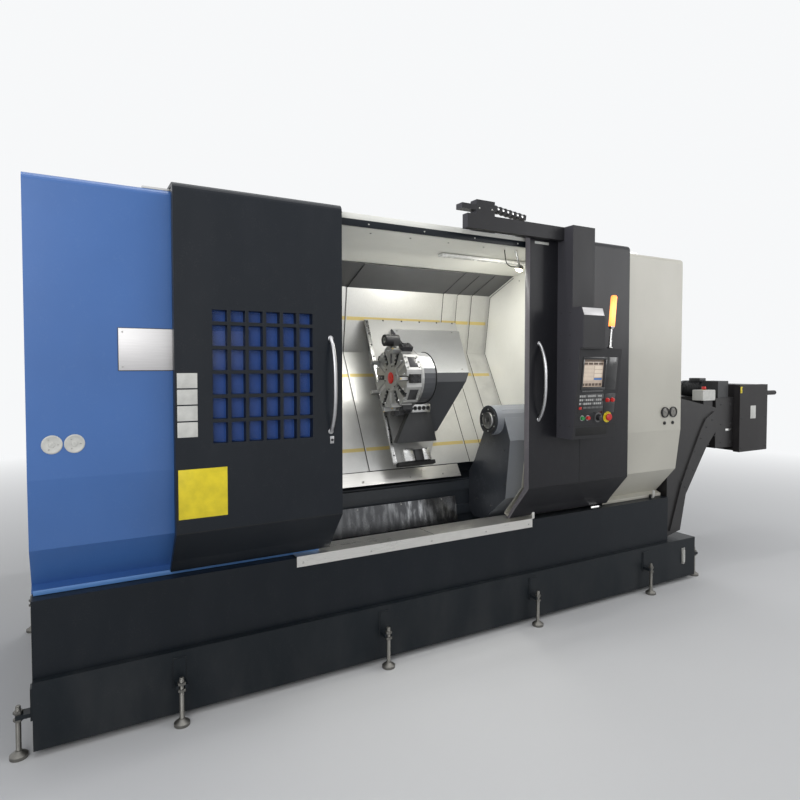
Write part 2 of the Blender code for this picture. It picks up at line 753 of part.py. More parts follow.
bed_outline = [(BED_FRONT, tank_floor + SEAT), (BED_FRONT, BED_KNEE_HEIGHT), on_bed(0, BED_SETBACK),
               on_bed(BED_LENGTH, BED_SETBACK), on_bed(BED_LENGTH, BED_SETBACK + BED_CREST),
               (BED_BACK, on_bed(BED_LENGTH, BED_SETBACK + BED_CREST)[1] - BED_CREST),
               (BED_BACK, tank_floor + SEAT)]
bed = side_solid("bed_casting", bed_outline, BED_LEFT, BED_RIGHT, IRON)


def bed_bar_mesh(rise, width, near, far, length):
    """A bar along the bed: a slanted rectangle between two depths behind the covers."""
    outline = [on_bed(rise - width / 2, near), on_bed(rise + width / 2, near),
               on_bed(rise + width / 2, far), on_bed(rise - width / 2, far)]
    return outline_mesh(outline, length)


# Slideways raised on the casting: two on the slope for the carriage, two low for the tailstock
rail_face = BED_SETBACK - RAIL_HEIGHT
way_left = WALL_LEFT + OVERRUN
way_length = BED_RIGHT - OVERRUN - way_left
for rail_share in (RAIL_LOW_SHARE, RAIL_HIGH_SHARE):
    rail = bed_bar_mesh(BED_LENGTH * rail_share, RAIL_WIDTH, rail_face, BED_SETBACK + SLIDE_GAP, way_length)
    boolean(bed, rail, "UNION", (way_left, 0, 0), SIDE_VIEW)
for way_height in (WAY_LOW, WAY_HIGH):
    boolean(bed, block_mesh(way_left, way_left + way_length, BED_FRONT - WAY_PROUD, BED_FRONT + SLIDE_GAP,
                            way_height - WAY_HEIGHT / 2, way_height + WAY_HEIGHT / 2), "UNION")

# Feed screw between two bearings cast on the bed, and its motor
screw_rise = BED_LENGTH * SCREW_SHARE
screw_inward = BED_SETBACK - SCREW_STAND
screw_depth, screw_height = on_bed(screw_rise, screw_inward)
for bearing_left in (SCREW_LEFT - BEARING_LENGTH / 2, SCREW_RIGHT - BEARING_LENGTH - OVERRUN):
    boolean(bed, bed_bar_mesh(screw_rise, BEARING_SIZE, BED_SETBACK - BEARING_SIZE, BED_SETBACK + SLIDE_GAP,
                              BEARING_LENGTH), "UNION", (bearing_left, 0, 0), SIDE_VIEW)
boolean(bed, rod_mesh(SCREW_RADIUS + RUNNING_GAP, SCREW_RIGHT - SCREW_LEFT + BEARING_LENGTH, 16),
        location=(SCREW_LEFT - BEARING_LENGTH, screw_depth, screw_height), rotation=ALONG_X)
rod("feed_screw", SCREW_RADIUS, SCREW_RIGHT - SCREW_LEFT, STEEL, (SCREW_LEFT, screw_depth, screw_height),
    ALONG_X, 16)
feed_motor = place("feed_motor", bed_bar_mesh(screw_rise, FEED_MOTOR_SIZE, BED_SETBACK - FEED_MOTOR_SIZE,
                                              BED_SETBACK - SEAT, FEED_MOTOR_LENGTH - SEAT),
                   BLACK, (SCREW_RIGHT + SEAT, 0, 0), SIDE_VIEW)
soften(feed_motor, FEED_MOTOR_SIZE / 12)

# Saddle behind the covers, bored for the screw, with a neck through to the front
saddle_near = SADDLE_COVER_GAP
saddle_far = rail_face - SEAT
neck_low = BED_LENGTH * NECK_LOW_SHARE
neck_high = BED_LENGTH * NECK_HIGH_SHARE
saddle_outline = [on_bed(OVERRUN, saddle_near), on_bed(BED_LENGTH - OVERRUN, saddle_near),
                  on_bed(BED_LENGTH - OVERRUN, saddle_far), on_bed(screw_rise + NUT_RADIUS, saddle_far),
                  on_bed(screw_rise + NUT_RADIUS, BED_SETBACK - SLIDE_GAP),
                  on_bed(screw_rise - NUT_RADIUS, BED_SETBACK - SLIDE_GAP),
                  on_bed(screw_rise - NUT_RADIUS, saddle_far), on_bed(OVERRUN, saddle_far)]
saddle = side_solid("saddle", saddle_outline, SADDLE_LEFT, SADDLE_LEFT + SADDLE_WIDTH, IRON)
boolean(saddle, rod_mesh(SCREW_RADIUS + RUNNING_GAP, SADDLE_WIDTH + 2 * OVERRUN, 16),
        location=(SADDLE_LEFT - OVERRUN, screw_depth, screw_height), rotation=ALONG_X)
neck_outline = [on_bed(neck_low, SHEET + SEAT), on_bed(neck_high, SHEET + SEAT),
                on_bed(neck_high, saddle_near + SLIDE_GAP), on_bed(neck_low, saddle_near + SLIDE_GAP)]
boolean(saddle, outline_mesh(neck_outline, SADDLE_NECK_WIDTH), "UNION", (SADDLE_NECK_LEFT, 0, 0), SIDE_VIEW)


# Telescopic way covers: folded stainless sheets that slide behind one another
def way_cover(name, layer, x0, x1):
    line = beside(cover_line, -layer * LAYER_PITCH)
    return sheet(name, line, -SHEET, x0, x1, STAINLESS)


way_cover("way_cover_carriage", 0, CARRIAGE_COVER_LEFT, CARRIAGE_COVER_LEFT + CARRIAGE_COVER_WIDTH)
way_cover("way_cover_left_mid", 1, LEFT_MID_LEFT, LEFT_MID_LEFT + LEFT_MID_WIDTH)
way_cover("way_cover_left_end", 2, LEFT_END_LEFT, LEFT_END_LEFT + LEFT_END_WIDTH)
way_cover("way_cover_left_fixed", 3, WALL_LEFT + SEAT, WALL_LEFT + SEAT + FIXED_LEFT_WIDTH)
way_cover("way_cover_right_mid", 1, RIGHT_MID_LEFT, RIGHT_MID_LEFT + RIGHT_MID_WIDTH)
way_cover("way_cover_right_end", 2, RIGHT_END_LEFT, RIGHT_END_LEFT + RIGHT_END_WIDTH)
way_cover("way_cover_right_fixed", 3, WALL_RIGHT - SEAT - FIXED_RIGHT_WIDTH, WALL_RIGHT - SEAT)

# End walls of the work area, following the covers' side line
wall_layers = 3 * LAYER_PITCH + SHEET
wall_line = beside(cover_line, -wall_layers - SEAT)
cover_shell = [(LIP_DEPTH, TRAY_TOP + SLIDE_GAP / 2), (LIP_DEPTH, TRAY_TOP + LIP_HEIGHT),
               (COVER_BOTTOM_DEPTH, COVER_BOTTOM), (FOLD_LOW_DEPTH, FOLD_LOW), (COVER_SETBACK, FOLD_HIGH)]
cover_shell += [(COVER_SETBACK + COVER_EDGE_RADIUS + u, COVER_TOP - COVER_EDGE_RADIUS + v)
                for u, v in arc(0, 0, COVER_EDGE_RADIUS, 180, 90, 6)]
cover_shell += [(ENCLOSURE_DEPTH - SEAT, COVER_TOP)]
wall_front = beside(cover_shell[2:], SHEET + SEAT)[:-1]
wall_back = BED_FRONT - WAY_PROUD - 2 * SLIDE_GAP
wall_outline = wall_front + [(COVER_CROWN_DEPTH, wall_front[-1][1])] + wall_line
wall_outline += [(wall_back, COVER_FOOT_HEIGHT - 6 * SLIDE_GAP), (wall_back, wall_front[0][1])]
spindle_hole = (circle(SPINDLE_DEPTH, SPINDLE_HEIGHT, SPINDLE_NOSE_RADIUS + SLIDE_GAP, 32),)
side_solid("left_inner_wall", wall_outline, WALL_LEFT - WALL_SHEET, WALL_LEFT, INNER_WHITE, spindle_hole)
side_solid("right_inner_wall", wall_outline, WALL_RIGHT, WALL_RIGHT + WALL_SHEET, INNER_WHITE)

# Deflector: stainless strip under the covers that throws chips into the trough
deflector_line = [(COVER_FOOT_DEPTH - SHEET, COVER_FOOT_HEIGHT - SLIDE_GAP),
                  (COVER_FOOT_DEPTH - 10 * SLIDE_GAP, WAY_HIGH + WAY_HEIGHT + 4 * SLIDE_GAP)]
sheet("chip_deflector", deflector_line, -SHEET, WALL_LEFT + SEAT, DEFLECTOR_RIGHT, STAINLESS)

# Ceiling of the work area: one folded white sheet that holds the light
ceiling_line = [(CEILING_FRONT, COVER_TOP - SHEET - SEAT), (CEILING_FRONT, CEILING_HEIGHT),
                (CEILING_CREASE_DEPTH, CEILING_CREASE_HEIGHT),
                (COVER_CROWN_DEPTH - 3 * SLIDE_GAP, COVER_CROWN_HEIGHT + SLIDE_GAP)]
sheet("ceiling_panel", ceiling_line, -SHEET, WALL_LEFT + SEAT, WALL_RIGHT - SEAT, INNER_WHITE)

# Front covers: folded shells with a rounded top edge, two folds and a drip lip at the foot
end_outline = [(COVER_BOTTOM_DEPTH, SKIRT_TOP + SEAT)] + cover_shell[2:]
end_outline += [(ENCLOSURE_DEPTH - SEAT, SKIRT_TOP + SEAT)]
headstock_cover = sheet("headstock_cover", cover_shell, SHEET, 0, OPENING_LEFT, BLUE)
boolean(headstock_cover, outline_mesh(end_outline, SHEET), "UNION", rotation=SIDE_VIEW)
right_cover = sheet("right_cover", cover_shell, SHEET, OPENING_RIGHT, ENCLOSURE_LENGTH, WHITE)
boolean(right_cover, outline_mesh(end_outline, SHEET), "UNION", (ENCLOSURE_LENGTH - SHEET, 0, 0), SIDE_VIEW)
block("rear_panel", 0, ENCLOSURE_LENGTH, ENCLOSURE_DEPTH, ENCLOSURE_DEPTH + SHEET,
      SKIRT_TOP, COVER_TOP, WHITE)

# Roof over the opening with its white front edge, and the rail the doors hang on
roof_line = [(COVER_SETBACK, HEADER_BOTTOM + HEADER_HEIGHT + SEAT), (COVER_SETBACK, COVER_TOP),
             (ENCLOSURE_DEPTH - SEAT, COVER_TOP)]
sheet("roof_panel", roof_line, SHEET, OPENING_LEFT + SEAT, OPENING_RIGHT - SEAT, INNER_WHITE)
block("roof_rail", ROOF_RAIL_LEFT, ROOF_RAIL_RIGHT, ROOF_RAIL_DEPTH + COVER_EDGE_RADIUS,
      ROOF_RAIL_DEPTH + COVER_EDGE_RADIUS + ROOF_RAIL_WIDTH, COVER_TOP + SEAT,
      DOOR_TOP - DOOR_FLANGE - SEAT, STEEL)

# Sill and tray: one stainless sheet hung over the front of the skirt and down into the machine
tray_line = [(SKIRT_FRONT - SHEET - SEAT, SKIRT_TOP - SILL_HEIGHT), (SKIRT_FRONT - SHEET - SEAT, TRAY_TOP),
             (SKIRT_FRONT + SHELF_DEPTH, SKIRT_TOP + SHEET + 2 * SEAT), (TRAY_BACK_DEPTH, TRAY_BACK_HEIGHT)]
sheet("front_tray", tray_line, SHEET, SILL_LEFT, SILL_RIGHT, STAINLESS)


# Sliding doors: thick folded panels that hang on the roof rail by a top flange
def door_outline():
    front = [(DOOR_BOTTOM_DEPTH, DOOR_BOTTOM), (DOOR_MID_DEPTH, DOOR_MID_HEIGHT), (0, DOOR_KNEE)]
    top = [(DOOR_TOP_RADIUS + u, DOOR_TOP - DOOR_TOP_RADIUS + v)
           for u, v in arc(0, 0, DOOR_TOP_RADIUS, 180, 90, 5)]
    flange = [(DOOR_FLANGE_DEPTH + COVER_EDGE_RADIUS, DOOR_TOP),
              (DOOR_FLANGE_DEPTH + COVER_EDGE_RADIUS, DOOR_TOP - DOOR_FLANGE),
              (DOOR_THICKNESS, DOOR_TOP - DOOR_FLANGE), (DOOR_THICKNESS, DOOR_KNEE)]
    foot = [(DOOR_MID_DEPTH + DOOR_FOOT_THICKNESS, DOOR_MID_HEIGHT + DOOR_FOOT_THICKNESS / 3),
            (DOOR_BOTTOM_DEPTH + DOOR_FOOT_THICKNESS, DOOR_BOTTOM)]
    return front + top + flange + foot


left_door = side_solid("left_door", door_outline(), LEFT_DOOR_LEFT, LEFT_DOOR_LEFT + LEFT_DOOR_WIDTH, DARK)
grid = []
for column in range(GRID_COLUMNS):
    for row in range(GRID_ROWS):
        pane_left = GRID_LEFT + column * GRID_PITCH_X
        pane_low = GRID_BOTTOM + row * GRID_PITCH_Z
        pane_height = PANE_OPEN_TOP if row == GRID_ROWS - 1 else PANE_OPEN_Z
        grid.append((pane_left, pane_left + PANE_OPEN_X, -OVERRUN, DOOR_THICKNESS + OVERRUN,
                     pane_low, pane_low + pane_height))
boolean(left_door, blocks_mesh(grid))
grid_right = GRID_LEFT + (GRID_COLUMNS - 1) * GRID_PITCH_X + PANE_OPEN_X
grid_top = GRID_BOTTOM + (GRID_ROWS - 1) * GRID_PITCH_Z + PANE_OPEN_TOP
block("left_window", GRID_LEFT - PANE_MARGIN, grid_right + PANE_MARGIN, DOOR_THICKNESS + SEAT,
      DOOR_THICKNESS + SEAT + PANE_THICKNESS, GRID_BOTTOM - PANE_MARGIN, grid_top + PANE_MARGIN, GLASS)
side_solid("right_door", door_outline(), RIGHT_DOOR_LEFT, RIGHT_DOOR_LEFT + RIGHT_DOOR_WIDTH, CHARCOAL)


def handle(name, station):
    """A bow handle: a bent tube with both feet on the door."""
    curve = bpy.data.curves.new(name, "CURVE")
    curve.dimensions = "3D"
    curve.bevel_depth = HANDLE_TUBE
    curve.bevel_resolution = 3
    curve.use_fill_caps = True
    spline = curve.splines.new("POLY")
    half = (HANDLE_TOP - HANDLE_BOTTOM) / 2
    steps = 16
    spline.points.add(steps)
    for i, point in enumerate(spline.points):
        share = -1 + 2 * i / steps
        bow = (1 - abs(share) ** 2.6) ** 0.8 if abs(share) < 1 else 0
        point.co = (0, -HANDLE_REACH * bow, share * half, 1)
    guide = bpy.data.objects.new(name, curve)
    bpy.context.scene.collection.objects.link(guide)
    graph = bpy.context.evaluated_depsgraph_get()
    mesh = bpy.data.meshes.new_from_object(guide.evaluated_get(graph))
    bpy.data.objects.remove(guide)
    shape = bmesh.new()
    shape.from_mesh(mesh)
    bmesh.ops.remove_doubles(shape, verts=shape.verts, dist=MERGE)
    piece = place(name, mesh_from(shape), STEEL, (station, 0, (HANDLE_TOP + HANDLE_BOTTOM) / 2))
    boolean(piece, block_mesh(station - HANDLE_REACH, station + HANDLE_REACH, -SEAT, HANDLE_REACH,
                              HANDLE_BOTTOM - HANDLE_REACH, HANDLE_TOP + HANDLE_REACH))
    round_shading(piece)
    return piece


handle("left_handle", LEFT_DOOR_LEFT + LEFT_DOOR_WIDTH - LEFT_HANDLE_INSET)
handle("right_handle", RIGHT_DOOR_LEFT + RIGHT_HANDLE_INSET)

# Console on the right door: tower and beam, bright-topped head and tilted screen unit in one housing
tower_right = CONSOLE_LEFT + TOWER_WIDTH
console = block("console_housing", CONSOLE_LEFT, tower_right, -TOWER_DEPTH, -SEAT,
                TOWER_BOTTOM - SLIDE_GAP, TOWER_TOP, CHARCOAL)
beam = block_mesh(BEAM_LEFT, CONSOLE_LEFT + SLIDE_GAP, -BEAM_FRONT, -BEAM_BACK, BEAM_BOTTOM, TOWER_TOP)
boolean(console, beam, "UNION")
head_line = [(-SEAT, HEAD_BOTTOM - SLIDE_GAP), (-SEAT, TOWER_BOTTOM), (-HEAD_SLOPE_DEPTH, TOWER_BOTTOM),
             (-HEAD_DEPTH, HEAD_SLOPE_HEIGHT), (-HEAD_DEPTH, HEAD_BOTTOM - SLIDE_GAP)]
boolean(console, outline_mesh(head_line, TOWER_WIDTH - 2 * SEAT), "UNION",
        (CONSOLE_LEFT + SEAT, 0, 0), SIDE_VIEW)
screen_line = [(-2 * SEAT, SCREEN_FOOT_HEIGHT), (-2 * SEAT, HEAD_BOTTOM), (-SCREEN_TOP_DEPTH, HEAD_BOTTOM),
               (-SCREEN_FOOT_DEPTH, SCREEN_FOOT_HEIGHT)]
boolean(console, outline_mesh(screen_line, SCREEN_WIDTH), "UNION", (CONSOLE_LEFT, 0, 0), SIDE_VIEW)

face_top = Vector((-SCREEN_TOP_DEPTH, HEAD_BOTTOM))
face_foot = Vector((-SCREEN_FOOT_DEPTH, SCREEN_FOOT_HEIGHT))
face_down = (face_foot - face_top).normalized()
face_out = Vector((face_down.y, -face_down.x))


def on_face(drop, proud):
    """Depth and height of a point down the console's tilted face and in front of it."""
    return tuple(face_top + face_down * drop + face_out * proud)


FACE_TURN = Matrix(((1, 0, 0), (0, -face_down.x, face_out.x), (0, -face_down.y, face_out.y)))


def face_location(inset, drop, proud):
    depth, height = on_face(drop, proud)
    return (CONSOLE_LEFT + inset, depth, height)


def face_block(inset, drop, width, height, proud_low, proud_high):
    """A box on the tilted face, as a mesh in the face's own axes about its top left corner."""
    return block_mesh(inset, inset + width, -drop - height, -drop, proud_low, proud_high)


face_corner = face_location(0, 0, 0)
boolean(console, face_block(LCD_LEFT, LCD_TOP, LCD_WIDTH, LCD_HEIGHT, -SCREEN_RECESS, OVERRUN),
        location=face_corner, rotation=FACE_TURN)

# Push buttons, override knob and rotary stop, each in its own bore
button_bores = ((START_INSET, BUTTON_RADIUS), (HOLD_INSET, BUTTON_RADIUS),
                (KNOB_INSET, STOP_STEM_RADIUS), (STOP_INSET, STOP_STEM_RADIUS))
for bore_inset, bore_radius in button_bores:
    boolean(console, rod_mesh(bore_radius + RUNNING_GAP, BORE_DEPTH + OVERRUN, 20),
            location=face_location(bore_inset, BUTTON_DROP, -BORE_DEPTH), rotation=FACE_TURN)


def face_turned(name, profile, inset, material):
    return turned(name, profile, 20, material, face_location(inset, BUTTON_DROP, 0), FACE_TURN)


button_foot = 2 * BUTTON_STROKE - BORE_DEPTH
button_profile = [(0, BUTTON_PROUD), (BUTTON_RADIUS, BUTTON_PROUD), (BUTTON_RADIUS, button_foot),
                  (0, button_foot)]
face_turned("cycle_start_button", button_profile, START_INSET, WHITE)
face_turned("feed_hold_button", button_profile, HOLD_INSET, RED)
knob_foot = SEAT - BORE_DEPTH
knob_profile = [(0, KNOB_HEIGHT), (KNOB_RADIUS * 0.8, KNOB_HEIGHT), (KNOB_RADIUS, SLIDE_GAP / 4),
                (STOP_STEM_RADIUS, SLIDE_GAP / 4), (STOP_STEM_RADIUS, knob_foot), (0, knob_foot)]
face_turned("override_knob", knob_profile, KNOB_INSET, BLACK)
stop_low = STOP_STEM_LENGTH - STOP_HEAD_HEIGHT / 2
stop_profile = [(0, stop_low + STOP_HEAD_HEIGHT), (STOP_HEAD_RADIUS * 0.7, stop_low + STOP_HEAD_HEIGHT),
                (STOP_HEAD_RADIUS, stop_low + STOP_HEAD_HEIGHT / 2), (STOP_HEAD_RADIUS * 0.9, stop_low),
                (STOP_STEM_RADIUS, stop_low), (STOP_STEM_RADIUS, STOP_STROKE * 1.5 - BORE_DEPTH),
                (0, STOP_STROKE * 1.5 - BORE_DEPTH)]
face_turned("emergency_stop", stop_profile, STOP_INSET, RED)

# Signal lamp on a thin post that leans a little to the right
lamp_lean = Matrix.Rotation(math.radians(LAMP_TILT_DEG), 3, "Y")
lamp_foot = (CONSOLE_LEFT + LAMP_INSET, -LAMP_DEPTH, HEAD_BOTTOM)
lamp_lift = 2 * SEAT + LAMP_RADIUS * math.sin(math.radians(LAMP_TILT_DEG))
lamp_top = LAMP_POST_HEIGHT + LAMP_LENGTH
lamp_profile = [(0, lamp_top), (LAMP_RADIUS * 0.6, lamp_top), (LAMP_RADIUS, lamp_top - LAMP_RADIUS * 0.4),
                (LAMP_RADIUS, LAMP_POST_HEIGHT - LAMP_RADIUS),
                (LAMP_POST_RADIUS, LAMP_POST_HEIGHT - 2 * LAMP_RADIUS), (LAMP_POST_RADIUS, LAMP_RADIUS),
                (LAMP_RADIUS, LAMP_RADIUS / 2), (LAMP_RADIUS, lamp_lift), (0, lamp_lift)]
turned("signal_lamp", lamp_profile, 20, AMBER, lamp_foot, lamp_lean)

# Cable carrier: a mast on the roof with an arm, and the chain that hangs from it
mast_low = COVER_TOP + SEAT
mast_depth = ROOF_RAIL_DEPTH + COVER_EDGE_RADIUS + ROOF_RAIL_WIDTH + DOOR_FLANGE_DEPTH / 2
mast = block("cable_carrier", MAST_LEFT, MAST_LEFT + MAST_WIDTH, mast_depth, mast_depth + MAST_DEPTH,
             mast_low, MAST_TOP, CHARCOAL)
boolean(mast, block_mesh(MAST_LEFT - MAST_ARM, MAST_LEFT + OVERRUN, mast_depth, mast_depth + MAST_DEPTH,
                         MAST_TOP - 2 * MAST_ARM_HEIGHT, MAST_TOP - MAST_ARM_HEIGHT), "UNION")


def chain_mesh():
    """Links of the cable carrier, each a box with a window, joined by pins into one solid run."""
    shape = bmesh.new()
    for i in range(CHAIN_LINKS):
        middle = CHAIN_LINK_LENGTH * (i + 0.5)
        add_block(shape, middle - CHAIN_LINK_LENGTH * 0.4, middle + CHAIN_LINK_LENGTH * 0.4,
                  0, CHAIN_WIDTH, -CHAIN_LINK_HEIGHT / 2, CHAIN_LINK_HEIGHT / 2)
    return mesh_from(shape)


chain_place = (MAST_LEFT + MAST_WIDTH - SLIDE_GAP, mast_depth + (MAST_DEPTH - CHAIN_WIDTH) / 2,
               MAST_TOP - CHAIN_LINK_HEIGHT)
chain_turn = Matrix.Rotation(math.radians(CHAIN_DROP_DEG), 3, "Y")
boolean(mast, block_mesh(0, CHAIN_LINKS * CHAIN_LINK_LENGTH, CHAIN_WIDTH * 0.25, CHAIN_WIDTH * 0.75,
                         -CHAIN_LINK_HEIGHT / 4, CHAIN_LINK_HEIGHT / 4), "UNION", chain_place, chain_turn)
boolean(mast, chain_mesh(), "UNION", chain_place, chain_turn)

# Headstock casting on the bed, with the spindle through it
headstock_line = [(HEADSTOCK_FRONT, HEADSTOCK_BOTTOM), (HEADSTOCK_FRONT, HEADSTOCK_TOP - HEADSTOCK_CHAMFER),
                  (HEADSTOCK_FRONT + HEADSTOCK_CHAMFER, HEADSTOCK_TOP),
                  (on_bed(BED_LENGTH, BED_SETBACK - SEAT)[0], HEADSTOCK_TOP)]
headstock_line[-1] = on_bed((HEADSTOCK_TOP - on_bed(0, BED_SETBACK - SEAT)[1]) / bed_up.y, BED_SETBACK - SEAT)
headstock_line += [on_bed(0, BED_SETBACK - SEAT), on_bed(0, BED_SETBACK - BED_CREST)]
spindle_bore = (circle(SPINDLE_DEPTH, SPINDLE_HEIGHT, SPINDLE_RADIUS + RUNNING_GAP, 32),)
side_solid("headstock", headstock_line, HEADSTOCK_LEFT, HEADSTOCK_RIGHT, IRON, spindle_bore)
spindle_axis = (0, SPINDLE_DEPTH, SPINDLE_HEIGHT)
nose_left = HEADSTOCK_RIGHT + SLIDE_GAP
pulley_end = PULLEY_LEFT + PULLEY_WIDTH
pulley_rim = PULLEY_RADIUS + BELT_THICKNESS + SHEET
spindle_end = CHUCK_LEFT - SEAT
spindle_profile = [(SPINDLE_BORE, spindle_end), (SPINDLE_NOSE_RADIUS, spindle_end),
                   (SPINDLE_NOSE_RADIUS, nose_left), (SPINDLE_RADIUS, nose_left),
                   (SPINDLE_RADIUS, pulley_end), (pulley_rim, pulley_end), (pulley_rim, pulley_end - SHEET),
                   (PULLEY_RADIUS, pulley_end - SHEET), (PULLEY_RADIUS, PULLEY_LEFT + SHEET),
                   (pulley_rim, PULLEY_LEFT + SHEET), (pulley_rim, PULLEY_LEFT),
                   (SPINDLE_BORE, PULLEY_LEFT), (SPINDLE_BORE, spindle_end)]
turned("spindle", spindle_profile, 32, STEEL, spindle_axis, ALONG_X)
chuck_face = CHUCK_LEFT + CHUCK_LENGTH
chuck_profile = [(SPINDLE_BORE, chuck_face), (CHUCK_RADIUS - SHEET, chuck_face),
                 (CHUCK_RADIUS, chuck_face - SHEET), (CHUCK_RADIUS, CHUCK_LEFT),
                 (SPINDLE_BORE, CHUCK_LEFT), (SPINDLE_BORE, chuck_face)]
chuck = turned("chuck_body", chuck_profile, 36, STEEL, spindle_axis, ALONG_X)
for i in range(JAW_COUNT):
    jaw_turn = Matrix.Rotation(i * math.tau / JAW_COUNT, 3, "X")
    boolean(chuck, block_mesh(chuck_face - JAW_SLOT_DEPTH, chuck_face + OVERRUN, -JAW_WIDTH / 4 - RUNNING_GAP,
                              JAW_WIDTH / 4 + RUNNING_GAP, SPINDLE_BORE / 2, CHUCK_RADIUS + OVERRUN),
            location=spindle_axis, rotation=jaw_turn)
    jaw_block = block_mesh(chuck_face + SEAT, chuck_face + JAW_HEIGHT, -JAW_WIDTH / 2, JAW_WIDTH / 2,
                           JAW_INNER, JAW_OUTER)
    jaw = place("chuck_jaw_" + str(i + 1), jaw_block, STEEL, spindle_axis, jaw_turn)
    boolean(jaw, block_mesh(chuck_face + JAW_HEIGHT / 2, chuck_face + JAW_HEIGHT + OVERRUN, -JAW_WIDTH,
                            JAW_WIDTH, JAW_STEP, JAW_OUTER + OVERRUN),
            location=spindle_axis, rotation=jaw_turn)
    boolean(jaw, block_mesh(chuck_face - JAW_SLOT_DEPTH + SEAT, chuck_face + JAW_HEIGHT / 3, -JAW_WIDTH / 4,
                            JAW_WIDTH / 4, JAW_INNER, JAW_OUTER), "UNION",
            location=spindle_axis, rotation=jaw_turn)

# Spindle motor on the headstock, its pulley and the belt to the spindle
motor_height = HEADSTOCK_TOP + SEAT + MOTOR_SIZE / 2
motor = block("spindle_motor", MOTOR_LEFT, MOTOR_LEFT + MOTOR_LENGTH, MOTOR_DEPTH - MOTOR_SIZE / 2,
              MOTOR_DEPTH + MOTOR_SIZE / 2, motor_height - MOTOR_SIZE / 2, motor_height + MOTOR_SIZE / 2,
              MOTOR_GREY)
soften(motor, MOTOR_SIZE / 10, 1)
motor_rim = MOTOR_PULLEY_RADIUS + BELT_THICKNESS + SHEET
motor_profile = [(0, MOTOR_LEFT - SEAT), (MOTOR_SHAFT, MOTOR_LEFT - SEAT), (MOTOR_SHAFT, pulley_end),
                 (motor_rim, pulley_end), (motor_rim, pulley_end - SHEET),
                 (MOTOR_PULLEY_RADIUS, pulley_end - SHEET),
                 (MOTOR_PULLEY_RADIUS, PULLEY_LEFT + SHEET), (motor_rim, PULLEY_LEFT + SHEET),
                 (motor_rim, PULLEY_LEFT), (0, PULLEY_LEFT)]
turned("motor_pulley", motor_profile, 32, STEEL, (0, MOTOR_DEPTH, motor_height), ALONG_X)


def belt_loop(extra, steps=14):
    """The open belt's line round both pulleys, a distance outside them."""
    low = Vector((SPINDLE_DEPTH, SPINDLE_HEIGHT))
    high = Vector((MOTOR_DEPTH, motor_height))
    heading = (high - low).angle_signed(Vector((1, 0)))
    spread = math.asin((PULLEY_RADIUS - MOTOR_PULLEY_RADIUS) / (high - low).length)
    turn = math.degrees(heading)
    half = 90 + math.degrees(spread)
    upper = arc(high.x, high.y, MOTOR_PULLEY_RADIUS + extra, turn - (180 - half), turn + (180 - half), steps)
    lower = arc(low.x, low.y, PULLEY_RADIUS + extra, turn + (180 - half), turn + 360 - (180 - half), steps)
    return upper + lower


side_solid("drive_belt", belt_loop(BELT_THICKNESS), PULLEY_LEFT + 2 * SHEET, pulley_end - 2 * SHEET,
           RUBBER, (belt_loop(2 * RUNNING_GAP),))

# Cross slide plate and the base casting behind it, leaning with the slide
slide_foot = Vector((SLIDE_FOOT_DEPTH, SLIDE_FOOT_HEIGHT))
slide_lean = math.radians(SLIDE_LEAN_DEG)
slide_up = Vector((math.sin(slide_lean), math.cos(slide_lean)))
slide_out = Vector((-slide_up.y, slide_up.x))
slide_ray = slide_foot + slide_up * COVER_CROWN_HEIGHT
cover_folds = [intersect_line_line_2d(slide_foot, slide_ray, Vector(a), Vector(b))
               for a, b in zip(cover_line, cover_line[1:])]
slide_reach = min((hit - slide_foot).length for hit in cover_folds if hit)
slide_length = slide_reach - SLIDE_TOP_GAP
housing_top = slide_length - HOUSING_TOP_GAP


def on_slide(rise, stand):
    """Depth and height of a point up the cross slide and in front of its plate."""
    return tuple(slide_foot + slide_up * rise + slide_out * stand)


def taper_x(rise):
    """Right-hand edge of the slide plate and the turret housing at a rise."""
    return TAPER_START_X + (rise - TAPER_START) * TAPER_RATE


# An outline in station and rise, laid on the slide's plane, thickness towards the front
SLIDE_TURN = Matrix(((1, 0, 0), (0, slide_up.x, slide_out.x), (0, slide_up.y, slide_out.y)))
plate_outline = [(SLIDE_LEFT, 0), (taper_x(0), 0), (taper_x(housing_top), housing_top),
                 (SLIDE_RIGHT, housing_top), (SLIDE_RIGHT, slide_length), (SLIDE_LEFT, slide_length)]
plate_back = on_slide(0, -SLIDE_PLATE)
slide_plate = place("slide_plate", outline_mesh(plate_outline, SLIDE_PLATE), STAINLESS,
                    (0, plate_back[0], plate_back[1]), SLIDE_TURN)
base_rise = slide_length - 4 * OVERRUN
base_outline = [on_slide(OVERRUN, -SLIDE_PLATE / 2), on_slide(base_rise, -SLIDE_PLATE / 2),
                on_bed(BED_LENGTH - SLIDE_GAP, -SEAT), on_bed(2 * OVERRUN, -SEAT)]
slide_base = outline_mesh(base_outline, BASE_RIGHT_LOW - BASE_LEFT)
boolean(slide_plate, slide_base, "UNION", (BASE_LEFT, 0, 0), SIDE_VIEW)

